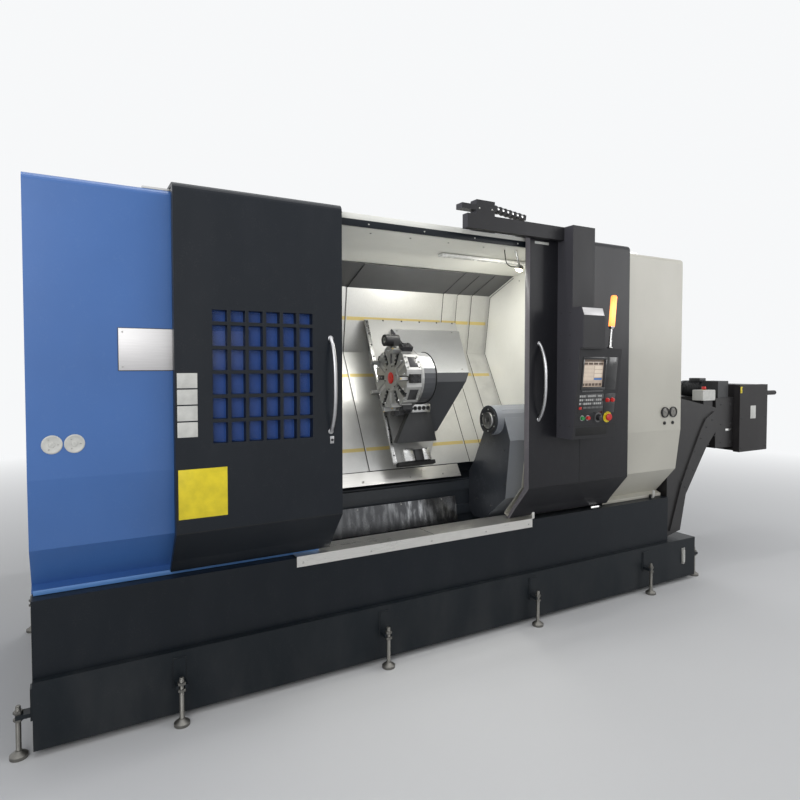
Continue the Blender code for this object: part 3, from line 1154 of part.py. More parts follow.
# Turret housing: a sheet steel wedge, cut along its slanting right side
housing_outline = [on_slide(housing_top, SEAT), on_slide(housing_top, HOUSING_EDGE),
                   on_slide(HOUSING_LIP, HOUSING_LIP_STAND), on_slide(HOUSING_CHIN, HOUSING_CHIN_STAND),
                   on_slide(HOUSING_FOOT, HOUSING_EDGE), on_slide(HOUSING_FOOT, SEAT)][::-1]
housing = side_solid("turret_housing", housing_outline, HOUSING_LEFT, SLIDE_RIGHT, STAINLESS)
side_cut = [(taper_x(-OVERRUN), -OVERRUN), (taper_x(slide_length + OVERRUN), slide_length + OVERRUN),
            (SLIDE_RIGHT + slide_length, slide_length + OVERRUN), (SLIDE_RIGHT + slide_length, -OVERRUN)]
cut_foot = on_slide(0, -OVERRUN)
boolean(housing, outline_mesh(side_cut, 2 * HOUSING_LIP_STAND), location=(0, cut_foot[0], cut_foot[1]),
        rotation=SLIDE_TURN)

# Turret: a neck on the housing, then the indexing disc with a slot at each station
turret_depth, turret_height = on_slide(TURRET_RISE, TURRET_STAND)
disc_back = TURRET_FACE + DISC_THICKNESS + DISC_BACK_THICKNESS
neck_left = disc_back + RUNNING_GAP
boolean(housing, rod_mesh(TURRET_NECK_RADIUS, HOUSING_LEFT + SLIDE_GAP - neck_left, 32), "UNION",
        (neck_left, turret_depth, turret_height), ALONG_X)


def station_ring(radius):
    """A twelve-sided outline with its flats at the stations."""
    corner = radius / math.cos(math.pi / STATIONS)
    angles = [(i + 0.5) * math.tau / STATIONS for i in range(STATIONS)]
    return [(corner * math.cos(angle), corner * math.sin(angle)) for angle in angles]


disc = place("turret_disc", outline_mesh(station_ring(DISC_RADIUS), DISC_THICKNESS), STEEL,
             (TURRET_FACE, turret_depth, turret_height), SIDE_VIEW)
boolean(disc, rod_mesh(DISC_BACK_RADIUS, DISC_BACK_THICKNESS + SLIDE_GAP, 36), "UNION",
        (TURRET_FACE + DISC_THICKNESS - SLIDE_GAP, turret_depth, turret_height), ALONG_X)
slots = []
for i in range(STATIONS):
    spoke = Matrix.Rotation(i * math.tau / STATIONS, 4, "X")
    slots.append((block_mesh(-OVERRUN, STATION_SLOT_DEPTH, -STATION_SLOT_WIDTH / 2, STATION_SLOT_WIDTH / 2,
                             STATION_SLOT_INNER, DISC_RADIUS + OVERRUN), spoke))
boolean(disc, joined(slots), location=(TURRET_FACE, turret_depth, turret_height))

# Tool holders: turning tool blocks on some stations, a boring bar holder on the top one
TURNING_STATIONS = (1, 3, 5, 6, 8, 10)
tool_shape = []
shank_shape = []
for station in TURNING_STATIONS:
    spoke = Matrix.Rotation(station * math.tau / STATIONS, 4, "X")
    holder = block_mesh(2 * SLIDE_GAP, TOOL_BLOCK_LENGTH, -TOOL_BLOCK_WIDTH / 2, TOOL_BLOCK_WIDTH / 2,
                        DISC_RADIUS - SLIDE_GAP, DISC_RADIUS + TOOL_BLOCK_HEIGHT)
    shank = block_mesh(-TOOL_SHANK_LENGTH, 3 * SLIDE_GAP, -TOOL_SHANK / 2, TOOL_SHANK / 2,
                       DISC_RADIUS - TOOL_SHANK, DISC_RADIUS + TOOL_SHANK / 2)
    tool_shape.append((holder, spoke))
    shank_shape.append((shank, spoke))
boolean(disc, joined(tool_shape), "UNION", (TURRET_FACE, turret_depth, turret_height))
boolean(disc, joined(shank_shape), "UNION", (TURRET_FACE, turret_depth, turret_height))
bar_height = DISC_RADIUS + SEAT + BAR_HOLDER_RADIUS
bar_holder = place("boring_bar_holder",
                   block_mesh(0, BAR_HOLDER_LENGTH / 2, -BAR_HOLDER_RADIUS, BAR_HOLDER_RADIUS,
                              DISC_RADIUS + SEAT, bar_height),
                   BLACK, (TURRET_FACE, turret_depth, turret_height))
boolean(bar_holder, rod_mesh(BAR_HOLDER_RADIUS, BAR_HOLDER_LENGTH, 24), "UNION",
        (TURRET_FACE - BAR_HOLDER_LENGTH / 2, turret_depth, turret_height + bar_height), ALONG_X)
boolean(bar_holder, rod_mesh(BAR_HOLDER_BORE, BAR_HOLDER_LENGTH + 2 * OVERRUN, 20),
        location=(TURRET_FACE - BAR_HOLDER_LENGTH / 2 - OVERRUN, turret_depth, turret_height + bar_height),
        rotation=ALONG_X)

# Tailstock: a casting that runs on the low ways, with a round nose for the quill
tail_back = BED_FRONT - WAY_PROUD - SEAT
tail_depth = tail_back - TAIL_FRONT
tail_rise = SPINDLE_HEIGHT - TAIL_FOOT
tail_back_top = WAY_HIGH + TAIL_OVER_WAY


def on_tail(across, up):
    """Depth and height of a point given as shares of the casting's depth and of its rise to the axis."""
    return (TAIL_FRONT + across * tail_depth, TAIL_FOOT + up * tail_rise)


tail_outline = [on_tail(*shares) for shares in TAIL_FRONT_SHARES]
tail_outline += [(tail_back, TAIL_FOOT + TAIL_HEEL), (tail_back, tail_back_top),
                 (TAIL_FRONT + TAIL_SHOULDER_SHARE * tail_depth, tail_back_top + TAIL_SHOULDER),
                 on_tail(*TAIL_THROAT_SHARES)]
tail_outline += arc(SPINDLE_DEPTH, SPINDLE_HEIGHT, NOSE_RADIUS, 0, 168, 10)
quill_hole = (circle(SPINDLE_DEPTH, SPINDLE_HEIGHT, QUILL_RADIUS + RUNNING_GAP, 32),)
tail_plate_left = TAIL_FACE + NOSE_LENGTH
tailstock = side_solid("tailstock_body", tail_outline, tail_plate_left, tail_plate_left + TAIL_LENGTH,
                       TAIL_BLUE, quill_hole)
tail_nose = rod_mesh(NOSE_RADIUS - SEAT, NOSE_LENGTH + SLIDE_GAP, 36, QUILL_RADIUS + 2 * RUNNING_GAP)
boolean(tailstock, tail_nose, "UNION", (TAIL_FACE, SPINDLE_DEPTH, SPINDLE_HEIGHT), ALONG_X)
quill_left = TAIL_FACE - QUILL_PROUD
quill_profile = [(CENTRE_BORE / 2, QUILL_LENGTH), (QUILL_RADIUS, QUILL_LENGTH), (QUILL_RADIUS, SLIDE_GAP / 2),
                 (QUILL_RADIUS - SLIDE_GAP / 2, 0), (CENTRE_BORE, 0), (CENTRE_BORE / 2, QUILL_LENGTH)]
turned("quill", quill_profile, 32, STEEL, (quill_left, SPINDLE_DEPTH, SPINDLE_HEIGHT), ALONG_X)

# Chip conveyor: an open trough in the tank, a closed elbow that climbs out of it, head and chute
conveyor = block("conveyor_body", TROUGH_LEFT, ELBOW_LEFT + OVERRUN, CONVEYOR_FRONT, CONVEYOR_BACK,
                 TROUGH_FLOOR, TROUGH_TOP, CHARCOAL)
boolean(conveyor, block_mesh(TROUGH_LEFT + TROUGH_SHEET, ELBOW_LEFT, CONVEYOR_FRONT + TROUGH_SHEET,
                             CONVEYOR_BACK - TROUGH_SHEET, TROUGH_FLOOR + TROUGH_SHEET, TROUGH_TOP + OVERRUN))
for leg_left in (TROUGH_LEFT + TROUGH_TOP, (TROUGH_LEFT + ELBOW_LEFT) / 2, ELBOW_LEFT - TROUGH_TOP):
    boolean(conveyor, block_mesh(leg_left, leg_left + LEG_WIDTH, CONVEYOR_FRONT + LEG_WIDTH,
                                 CONVEYOR_BACK - LEG_WIDTH, tank_floor + SEAT,
                                 TROUGH_FLOOR + TROUGH_SHEET / 2), "UNION")
belt_low = TROUGH_FLOOR + TROUGH_SHEET + SEAT
belt_left = TROUGH_LEFT + 2 * TROUGH_SHEET
belt_corners = [(belt_left, ELBOW_LEFT - 2 * TROUGH_SHEET, CONVEYOR_FRONT + 2 * TROUGH_SHEET,
                 CONVEYOR_BACK - 2 * TROUGH_SHEET, belt_low, belt_low + BELT_HEIGHT)]
belt = place("conveyor_belt", blocks_mesh(belt_corners), IRON)
cleats = []
for i in range(int((ELBOW_LEFT - belt_left - CLEAT_PITCH) / CLEAT_PITCH)):
    cleat_left = belt_left + (i + 0.5) * CLEAT_PITCH
    cleats.append((cleat_left, cleat_left + CLEAT_WIDTH, CONVEYOR_FRONT + 3 * TROUGH_SHEET,
                   CONVEYOR_BACK - 3 * TROUGH_SHEET, belt_low + BELT_HEIGHT / 2,
                   belt_low + BELT_HEIGHT + CLEAT_HEIGHT))
boolean(belt, blocks_mesh(cleats), "UNION")


def on_elbow(shares):
    """Station and height of points given as shares of the elbow's length and height."""
    return [(ELBOW_LEFT + along * ELBOW_LENGTH, TROUGH_FLOOR + up * (ELBOW_TOP - TROUGH_FLOOR))
            for along, up in shares]


elbow = outline_mesh(on_elbow(ELBOW_SHARES), CONVEYOR_BACK - CONVEYOR_FRONT)
boolean(conveyor, elbow, "UNION", (0, CONVEYOR_BACK, 0), FRONT_VIEW)
rib = outline_mesh(on_elbow(RIB_SHARES), RIB_PROUD + SLIDE_GAP)
boolean(conveyor, rib, "UNION", (0, CONVEYOR_FRONT + SLIDE_GAP, 0), FRONT_VIEW)
boolean(conveyor, block_mesh(HEAD_LEFT - 2 * OVERRUN, HEAD_RIGHT, CONVEYOR_FRONT, CONVEYOR_BACK,
                             HEAD_FLOOR, HEAD_TOP), "UNION")
chute = block("chip_chute", CHUTE_LEFT, CHUTE_RIGHT, CONVEYOR_FRONT, CONVEYOR_BACK,
              CHUTE_FOOT, CHUTE_TOP, DARK)
boolean(chute, block_mesh(CHUTE_LEFT + CHUTE_SHEET, CHUTE_RIGHT - CHUTE_SHEET, CONVEYOR_FRONT + CHUTE_SHEET,
                          CONVEYOR_BACK - CHUTE_SHEET, CHUTE_FOOT - OVERRUN, CHUTE_TOP - CHUTE_SHEET))
boolean(chute, block_mesh(GUARD_LEFT, GUARD_RIGHT, CONVEYOR_FRONT - SEAT - GUARD_THICKNESS,
                          CONVEYOR_FRONT - SEAT, CHUTE_FOOT, CHUTE_TOP), "UNION")
boolean(chute, block_mesh(CHUTE_LEFT, CHUTE_RIGHT, CONVEYOR_FRONT - OVERRUN, CONVEYOR_FRONT + CHUTE_SHEET / 2,
                          CHUTE_FOOT, CHUTE_TOP), "UNION")
boolean(chute, rod_mesh(SHAFT_RADIUS, SHAFT_STUB + OVERRUN, 16), "UNION",
        (GUARD_RIGHT - OVERRUN, CONVEYOR_FRONT - GUARD_THICKNESS / 2, SHAFT_HEIGHT), ALONG_X)

# Gear motor, control box and its stop button on the conveyor
gearbox_front = CONVEYOR_FRONT + 2 * SLIDE_GAP
gearbox = block("gear_motor", HEAD_LEFT, HEAD_LEFT + GEARBOX_SIZE, gearbox_front,
                gearbox_front + GEARBOX_SIZE, HEAD_TOP + SEAT, HEAD_TOP + GEARBOX_SIZE, MOTOR_GREY)
boolean(gearbox, rod_mesh(GEAR_MOTOR_RADIUS, GEAR_MOTOR_LENGTH + SLIDE_GAP, 24), "UNION",
        (HEAD_LEFT + GEARBOX_SIZE / 2, gearbox_front + GEARBOX_SIZE - SLIDE_GAP,
         HEAD_TOP + GEARBOX_SIZE / 2), ALONG_Y)
box_right = CONTROL_BOX_RIGHT
box_left = box_right - CONTROL_BOX_WIDTH
box_low = CONTROL_BOX_LOW
box_top = box_low + CONTROL_BOX_HEIGHT
box_back = CONVEYOR_FRONT + CONTROL_BOX_DEPTH
boolean(conveyor, block_mesh(box_left + OVERRUN, box_right - OVERRUN, CONVEYOR_FRONT + OVERRUN / 2,
                             box_back, box_low - CONTROL_BOX_DEPTH, box_low - SEAT), "UNION")
control_box = block("conveyor_control_box", box_left, box_right, CONVEYOR_FRONT, box_back,
                    box_low, box_top, WHITE, CONTROL_BOX_EDGE)
button_x = box_right - CONTROL_BOX_WIDTH / 2
button_y = CONVEYOR_FRONT + CONTROL_BOX_DEPTH / 2
stem = CONTROL_STOP_RADIUS / 2
boolean(control_box, rod_mesh(stem + RUNNING_GAP, BORE_DEPTH + OVERRUN, 16),
        location=(button_x, button_y, box_top - BORE_DEPTH))
stop_button = [(0, CONTROL_STOP_RADIUS * 1.5), (CONTROL_STOP_RADIUS * 0.8, CONTROL_STOP_RADIUS * 1.5),
               (CONTROL_STOP_RADIUS, CONTROL_STOP_RADIUS), (CONTROL_STOP_RADIUS, SLIDE_GAP),
               (stem, SLIDE_GAP), (stem, button_foot), (0, button_foot)]
turned("conveyor_stop_button", stop_button, 16, RED, (button_x, button_y, box_top))

# Electrical cabinet on the back with a hinged door
cabinet_front = ENCLOSURE_DEPTH + SHEET + SEAT
cabinet_back = cabinet_front + CABINET_DEPTH - 2 * SEAT
cabinet = block("cabinet_body", CABINET_LEFT, CABINET_LEFT + CABINET_WIDTH, cabinet_front, cabinet_back,
                CABINET_BOTTOM, CABINET_TOP, WHITE)
boolean(cabinet, block_mesh(CABINET_LEFT + CABINET_SHEET, CABINET_LEFT + CABINET_WIDTH - CABINET_SHEET,
                            cabinet_front + CABINET_SHEET, cabinet_back + OVERRUN,
                            CABINET_BOTTOM + CABINET_SHEET, CABINET_TOP - CABINET_SHEET))
block("cabinet_door", CABINET_LEFT, CABINET_LEFT + CABINET_WIDTH, cabinet_back + SEAT,
      cabinet_back + CABINET_DOOR, CABINET_BOTTOM, CABINET_TOP, WHITE, CABINET_DOOR_EDGE)
switch_height = (CABINET_BOTTOM + CABINET_TOP) / 2
rod("main_switch", SWITCH_RADIUS, SWITCH_LENGTH, BLACK,
    (CABINET_LEFT + CABINET_WIDTH / 5, cabinet_back + CABINET_DOOR + SEAT, switch_height), ALONG_Y, 24)
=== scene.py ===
"""CNC turning lathe with its doors open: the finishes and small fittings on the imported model."""

import math

import bpy
from mathutils import Matrix, Vector


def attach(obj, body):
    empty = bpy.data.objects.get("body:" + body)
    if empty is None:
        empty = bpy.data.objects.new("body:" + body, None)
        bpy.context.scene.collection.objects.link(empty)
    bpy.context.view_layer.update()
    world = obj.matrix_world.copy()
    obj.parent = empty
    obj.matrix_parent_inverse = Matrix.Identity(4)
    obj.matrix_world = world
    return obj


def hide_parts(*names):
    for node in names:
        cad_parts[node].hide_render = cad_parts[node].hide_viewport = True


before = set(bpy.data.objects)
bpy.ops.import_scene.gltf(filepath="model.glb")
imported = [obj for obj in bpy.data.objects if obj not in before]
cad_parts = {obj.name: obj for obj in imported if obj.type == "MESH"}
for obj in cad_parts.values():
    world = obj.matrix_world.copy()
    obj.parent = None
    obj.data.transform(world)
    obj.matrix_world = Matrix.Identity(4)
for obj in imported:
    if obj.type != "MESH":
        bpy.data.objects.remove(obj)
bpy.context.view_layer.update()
bpy.context.scene.view_settings.view_transform = "Standard"

# Viewpoint
# A visitor stands at the left end, a step back from the doors, at eye height,
# and looks along the machine. Places are told from its left end and its door faces.
LEFT_END = -2.544
DOOR_FACE = -0.8445


def at(x, y, z):
    """A place told from the left end, the doors' front faces and the floor."""
    return Vector((x + LEFT_END, y + DOOR_FACE, z))


visitor = bpy.data.cameras.new("visitor")
visitor.lens = 27
visitor.sensor_width = 36
visitor.shift_y = -0.0179
eye = bpy.data.objects.new("visitor", visitor)
eye.location = at(0.122, -2.6, 1.545)
eye.rotation_euler = (math.radians(90 - 1.88), 0, math.radians(-29.4))
bpy.context.scene.collection.objects.link(eye)
bpy.context.scene.camera = eye


# Coolant tank
# A welded box of thick sheet under the whole machine, sprayed with anthracite enamel.
# Its rim turns inwards and carries the skirt; a weld runs round each foot's bracket.
class Wire:
    """An output of a shader node. Sums on it add Math nodes."""

    def __init__(self, tree, socket):
        self.tree = tree
        self.socket = socket

    def node(self, kind, settings=None, values=None, out=0):
        """A new node: its settings first, then its inputs set or linked."""
        made = self.tree.nodes.new("ShaderNode" + kind)
        for key, value in (settings or {}).items():
            setattr(made, key, value)
        for place, value in (values or {}).items():
            if isinstance(value, Wire):
                self.tree.links.new(value.socket, made.inputs[place])
            else:
                made.inputs[place].default_value = value
        return Wire(self.tree, made.outputs[out])

    def sum(self, operation, first, second=0.0):
        return self.node("Math", {"operation": operation}, {0: first, 1: second})

    def __add__(self, other):
        return self.sum("ADD", self, other)

    def __sub__(self, other):
        return self.sum("SUBTRACT", self, other)

    def __rsub__(self, other):
        return self.sum("SUBTRACT", other, self)

    def __mul__(self, other):
        return self.sum("MULTIPLY", self, other)

    __radd__ = __add__
    __rmul__ = __mul__


def begin(name, **sockets):
    """A new finish with its constant sockets set, and the wire of the piece's own place."""
    material = bpy.data.materials.new(name)
    material.use_nodes = True
    tree = material.node_tree
    shader = tree.nodes["Principled BSDF"]
    for socket, value in sockets.items():
        shader.inputs[socket.replace("_", " ").title().replace("Ior", "IOR")].default_value = value
    place = Wire(tree, tree.nodes.new("ShaderNodeTexCoord").outputs["Object"])
    return material, shader, place


def grain(place, scale, detail=3.0, stretch=(1, 1, 1), roughness=0.5):
    """Noise in cycles per metre, from 0 to 1, drawn out along an axis where stretch is small."""
    turned_place = place.node("Mapping", {}, {"Vector": place, "Scale": stretch})
    return place.node("TexNoise", {}, {"Vector": turned_place, "Scale": scale, "Detail": detail,
        "Roughness": roughness})


def band(wire, low, high):
    """The wire's values from low to high spread over 0 to 1."""
    return wire.node("MapRange", {"clamp": True}, {"Value": wire, "From Min": low, "From Max": high})


def along(place, axis):
    """The distance along an axis."""
    return place.node("SeparateXYZ", {}, {0: place}, out=axis)


def facing(place, axis):
    """How far a face looks along an axis, from -1 to 1."""
    normal = Wire(place.tree, place.tree.nodes.new("ShaderNodeTexCoord").outputs["Normal"])
    return along(normal, axis)


def blend(wire, first, second):
    """One colour where the wire is 0 and the other where it is 1."""
    values = {0: wire}
    for place, colour in ((6, first), (7, second)):
        values[place] = colour if isinstance(colour, Wire) else (*colour, 1)
    return wire.node("Mix", {"data_type": "RGBA"}, values, out=2)


def varied(wire, colour, dark, light):
    """A colour that wanders between a darker and a lighter one."""
    darker, lighter = [c * dark for c in colour], [min(c * light, 1) for c in colour]
    return blend(band(wire, 0.3, 0.7), darker, lighter)


def feed(shader, **wires):
    for socket, wire in wires.items():
        wire.tree.links.new(wire.socket, shader.inputs[socket.replace("_", " ").title()])


def relief(shader, height, strength, distance):
    """Bump from a height wire, its distance in metres."""
    bump = height.node("Bump", {}, {"Height": height, "Strength": strength, "Distance": distance})
    feed(shader, normal=bump)


def enamel(name, colour, worn, roughness=0.4, peel=0.5, dust=0.12, floor_dirt=0.0, gloss=0.5, coat=0.15,
        scuffs=0.12, painted_facing_light=None):
    """Sprayed enamel: faint cloudiness, orange peel, dust, and rare scuffs that show the worn colour.
    The last argument gives faces that look along an axis another colour, which is painted light or shade: axis,
    from, to, colour."""
    material, shader, place = begin(name, coat_weight=coat, coat_roughness=0.2, specular_ior_level=gloss)
    cloud = grain(place, 1.7, 4)
    smear = grain(place, 6.0, 5, (1, 1, 0.35))
    speck = grain(place, 160.0, 2)
    tint = varied(cloud, colour, 0.92, 1.06)
    # Faces that look along the given axis are painted in another colour: painted light or shade, set by the way
    # they face.
    if painted_facing_light:
        axis, low, high, shade = painted_facing_light
        tint = blend(band(facing(place, axis), low, high), shade, tint)
    dusty = blend(band(smear, 0.5, 0.85) * dust, tint, [c * 0.7 + 0.12 for c in colour])
    scuff = band(grain(place, 31.0, 6, (1, 1, 0.5)) * band(speck, 0.45, 0.6), 0.5, 0.6) * scuffs
    if floor_dirt:
        low = 1 - band(along(place, 2), 0.02, 0.5)
        scuff = scuff + low * band(smear, 0.35, 0.75) * floor_dirt
    feed(shader, base_color=blend(scuff, dusty, worn), roughness=roughness - 0.05 + band(smear, 0.2, 0.8) * 0.12
        + scuff * 0.3)
    relief(shader, grain(place, 420.0, 2) + cloud * 0.5, peel * 0.14, 0.0006)
    return material


def moved(spot):
    """The shift by a distance."""
    return Matrix.Translation(spot)


def pick(*pieces):
    """These pieces alone are selected, and the last of them is active."""
    bpy.ops.object.select_all(action="DESELECT")
    for piece in pieces:
        piece.select_set(True)
    bpy.context.view_layer.objects.active = pieces[-1]


def rounded(piece, edge, steps, angle):
    """A bevel on the edges that are sharper than an angle."""
    rounding = piece.modifiers.new("edge", "BEVEL")
    rounding.width = edge
    rounding.segments = steps
    rounding.limit_method = "ANGLE"
    rounding.angle_limit = math.radians(angle)


def soften(piece, edge, steps=2, angle=30):
    """The piece's sharp edges rounded, and its faces shaded as smooth where they meet gently."""
    pick(piece)
    if edge:
        rounded(piece, edge, steps, angle)
        bpy.ops.object.modifier_apply(modifier="edge")
    bpy.ops.object.shade_smooth_by_angle(angle=math.radians(angle))


def cut(name, low, high, edge=0.002, steps=2):
    """A flat or square piece cut to size with its edges broken."""
    low, high = at(*low), at(*high)
    bpy.ops.object.select_all(action="DESELECT")
    bpy.ops.mesh.primitive_cube_add(size=1, location=(low + high) / 2, scale=high - low)
    piece = bpy.context.active_object
    piece.name = name
    bpy.ops.object.transform_apply(location=True, rotation=True, scale=True)
    soften(piece, edge, steps)
    return piece


def turned(name, profile, foot=(0, 0, 0), axis=(0, 0, 1), sides=32, angle=35, fill="NGON"):
    """A piece turned on a lathe, set on its foot and pointed along an axis. Its rings go up from
    the foot, each a height and a radius in millimetres."""
    profile = [(height / 1000, radius / 1000) for height, radius in profile]
    height, radius = profile[0]
    bpy.ops.object.select_all(action="DESELECT")
    bpy.ops.mesh.primitive_circle_add(vertices=sides, radius=radius, fill_type=fill, location=(0, 0, height))
    piece = bpy.context.active_object
    piece.name = name
    bpy.ops.object.mode_set(mode="EDIT")
    for (low, inner), (high, outer) in zip(profile, profile[1:]):
        bpy.ops.mesh.extrude_region_move(TRANSFORM_OT_translate={"value": (0, 0, high - low)})
        bpy.ops.transform.resize(value=(outer / inner, outer / inner, 1), center_override=(0, 0, high))
    bpy.ops.mesh.select_all(action="SELECT")
    if fill == "NOTHING":
        bpy.ops.mesh.remove_doubles(threshold=0.00002)
    bpy.ops.mesh.normals_make_consistent(inside=False)
    bpy.ops.object.mode_set(mode="OBJECT")
    bpy.ops.object.transform_apply(location=True, rotation=True, scale=True)
    bpy.ops.object.shade_smooth_by_angle(angle=math.radians(angle))
    turn = Vector((0, 0, 1)).rotation_difference(Vector(axis)).to_matrix().to_4x4()
    piece.data.transform(moved(foot) @ turn)
    return piece


def repeat(piece, spots):
    """The modelled piece copied to each spot, each copy with its own mesh, and all joined into one."""
    spots = [spot if isinstance(spot, Matrix) else moved(spot) for spot in spots]
    twins = []
    for spot in spots[1:]:
        twin = piece.copy()
        twin.data = piece.data.copy()
        twin.data.transform(spot)
        bpy.context.scene.collection.objects.link(twin)
        twins.append(twin)
    piece.data.transform(spots[0])
    pick(*twins, piece)
    bpy.ops.object.join()
    return piece


def fit(piece, finish, body="machine", stands_for=()):
    """A piece gets its finish and rides on its body of the machine."""
    piece.data.materials.clear()
    piece.data.materials.append(finish)
    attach(piece, body)
    if stands_for:
        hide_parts(*stands_for)
    return piece


def dress(finish, *nodes, edge=0.0, steps=2):
    """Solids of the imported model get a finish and, where asked, rounded edges."""
    for name in nodes:
        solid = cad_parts[name]
        for socket in solid.material_slots:
            socket.material = finish
        if edge:
            weld = solid.modifiers.new("weld", "WELD")
            weld.merge_threshold = 0.00004
            rounded(solid, edge, steps, 40)


def tube(name, points, radius, sides=3, order=3):
    """A round bar, pipe or weld bead drawn along points, its ends closed."""
    path = bpy.data.curves.new(name, "CURVE")
    path.dimensions = "3D"
    path.bevel_depth = radius
    path.bevel_resolution = sides
    path.resolution_u = 6
    path.use_fill_caps = True
    line = path.splines.new("NURBS" if order > 2 else "POLY")
    line.points.add(len(points) - 1)
    for knot, point in zip(line.points, points):
        knot.co = (*point, 1)
    line.use_endpoint_u = True
    line.order_u = order
    piece = bpy.data.objects.new(name, path)
    bpy.context.scene.collection.objects.link(piece)
    pick(piece)
    bpy.ops.object.convert(target="MESH")
    piece = bpy.context.active_object
    bpy.ops.object.mode_set(mode="EDIT")
    bpy.ops.mesh.select_all(action="SELECT")
    bpy.ops.mesh.remove_doubles(threshold=0.00005)
    bpy.ops.mesh.normals_make_consistent(inside=False)
    bpy.ops.object.mode_set(mode="OBJECT")
    bpy.ops.object.shade_smooth_by_angle(angle=math.radians(50))
    return piece


anthracite = enamel("anthracite_enamel", (0.008, 0.0115, 0.015), (0.07, 0.07, 0.07), 0.42, floor_dirt=0.3,
    dust=0.04, gloss=0.2, coat=0.05, scuffs=0.1)
dress(anthracite, "coolant_tank")
FOOT_WALLS = [(x, y, turn) for x in (0.549, 1.559, 2.569, 3.579) for y, turn in ((0.12, 0), (1.5, math.pi))]
FOOT_WALLS += [(x, y, turn) for y in (0.16, 1.46) for x, turn in ((0, -math.pi / 2), (4.12, math.pi / 2))]
foot_spots = [moved(at(x, y, 0)) @ Matrix.Rotation(turn, 4, "Z") for x, y, turn in FOOT_WALLS]
bracket_edge = [Vector(p) for p in ((-0.0262, -0.008, 0.148), (-0.0262, -0.008, 0.2735), (0.0262, -0.008, 0.2735),
    (0.0262, -0.008, 0.148))]
fit(repeat(tube("bracket_welds", bracket_edge, 0.0028, 2, 2), [spot @ moved((0, 0.007, 0)) for spot in foot_spots]),
    anthracite)

# Levelling feet
# Zinc-plated screws with rolled threads, a clamping nut over and a lock nut under each slotted lug,
# and a turned steel disc that stands on the floor.


def brushed(name, colour, roughness=0.3, lines=(0.03, 1, 1), metal=1.0, stain=0.25, stain_colour=0.55, bump=0.06,
        fine=520.0, painted_facing_light=None):
    """Bare metal: fine lines along one way, soft dull smears and a few water stains."""
    material, shader, place = begin(name)
    hair = grain(place, fine, 2, lines)
    smear = grain(place, 2.6, 5, (1, 1, 0.6))
    blot = grain(place, 11.0, 5)
    tint = varied(hair, colour, 0.93, 1.05)
    stained = band(smear, 0.45, 0.75) * band(blot, 0.42, 0.68) * stain
    tint = blend(stained, tint, [c * stain_colour for c in colour])
    metallic = metal - stained * 0.3
    # Faces that look along the given axis are painted in a dark colour with less metal sheen: painted shade.
    if painted_facing_light:
        axis, low, high, shade = painted_facing_light
        bright = band(facing(place, axis), low, high)
        tint = blend(bright, shade, tint)
        metallic = metallic * bright
    feed(shader, base_color=tint, metallic=metallic, roughness=roughness + band(hair, 0.2, 0.8) * 0.07
        + band(smear, 0.3, 0.7) * 0.08 + stained * 0.25)
    relief(shader, hair, bump, 0.0002)
    return material


foot_steel = brushed("oiled_foot_steel", (0.2, 0.195, 0.18), 0.36, (1, 1, 0.2), stain=0.7, fine=260.0)
zinc = brushed("zinc_plate", (0.44, 0.44, 0.42), 0.34, (1, 1, 0.2), stain=0.5, fine=260.0)
THREAD_PITCH = 4
thread = [(26, 9.2)]
while thread[-1][0] < 200:
    low = thread[-1][0]
    thread += [(low + THREAD_PITCH * 0.45, 10.3), (low + THREAD_PITCH * 0.55, 10.3), (low + THREAD_PITCH, 9.2)]
thread += [(206.5, 9.2), (208.5, 7.5)]
fit(repeat(turned("levelling_screws", thread, sides=12, angle=20), [spot @ moved((0, -0.05, 0))
    for spot in foot_spots]), foot_steel)
nut = turned("levelling_nuts", [(0, 14.5), (1.2, 17.8), (11.8, 17.8), (13, 14.5)], sides=6, angle=20)
nut_spots = [spot @ moved((0, -0.05, height)) for spot in foot_spots for height in (0.1755, 0.1472)]
fit(repeat(nut, nut_spots), foot_steel)
fit(repeat(turned("levelling_discs", [(0.2, 32.2), (1.2, 33.2), (13.2, 33.2), (15.2, 31.2), (27.2, 13.5),
    (30.2, 12.5), (30.2, 9.5)], sides=32), [spot @ moved((0, -0.05, 0)) for spot in foot_spots]), foot_steel)

# Coolant level gauge
# A clear tube between two hollow screws in a pressed steel guard, near the tank's right end.


def moulded(name, colour, roughness=0.45, gloss=0.5, spark=0.1):
    """Moulded plastic or rubber: fine spark-erosion grain, a little uneven sheen and grease."""
    material, shader, place = begin(name, specular_ior_level=gloss)
    pores = grain(place, 900.0, 2)
    grease = grain(place, 24.0, 4)
    darker, lighter = [c * 0.88 for c in colour], [min(c * 1.1 + 0.002, 1) for c in colour]
    feed(shader, base_color=blend(band(grease, 0.3, 0.7), darker, lighter), roughness=roughness - 0.06
        + band(grease, 0.3, 0.75) * 0.14)
    relief(shader, pores, spark, 0.0003)
    return material


pale_plastic = moulded("pale_plastic", (0.56, 0.56, 0.53), 0.4)
black = moulded("black_plastic", (0.012, 0.012, 0.013), 0.4)
rubber = moulded("black_rubber", (0.01, 0.01, 0.01), 0.7, 0.3, 0.2)
fit(cut("level_guard", (3.968, 0.1145, 0.128), (4.002, 0.1195, 0.242), 0.0015), zinc)
fit(turned("level_tube", [(0, 6), (1, 7.5), (83, 7.5), (84, 6)], at(3.985, 0.1105, 0.143), sides=20), pale_plastic)
fit(repeat(turned("level_screws", [(0, 10.5), (4, 10.5), (5.2, 9.5), (5.2, 4.8), (2.2, 4.6)], sides=6, angle=20,
    axis=(0, -1, 0)), [at(3.985, 0.1145, 0.136), at(3.985, 0.1145, 0.234)]), zinc)

# Base skirt
# Folded sheet round the machine's foot on the tank's rim; the covers stand on its shelf.
# Countersunk screws hold it to the tank's rim at both ends.
skirt_enamel = enamel("skirt_enamel", (0.0062, 0.009, 0.0128), (0.07, 0.07, 0.07), 0.4, floor_dirt=0.12, dust=0.03,
    gloss=0.2, coat=0.05, scuffs=0.08)
dress(skirt_enamel, "base_skirt")


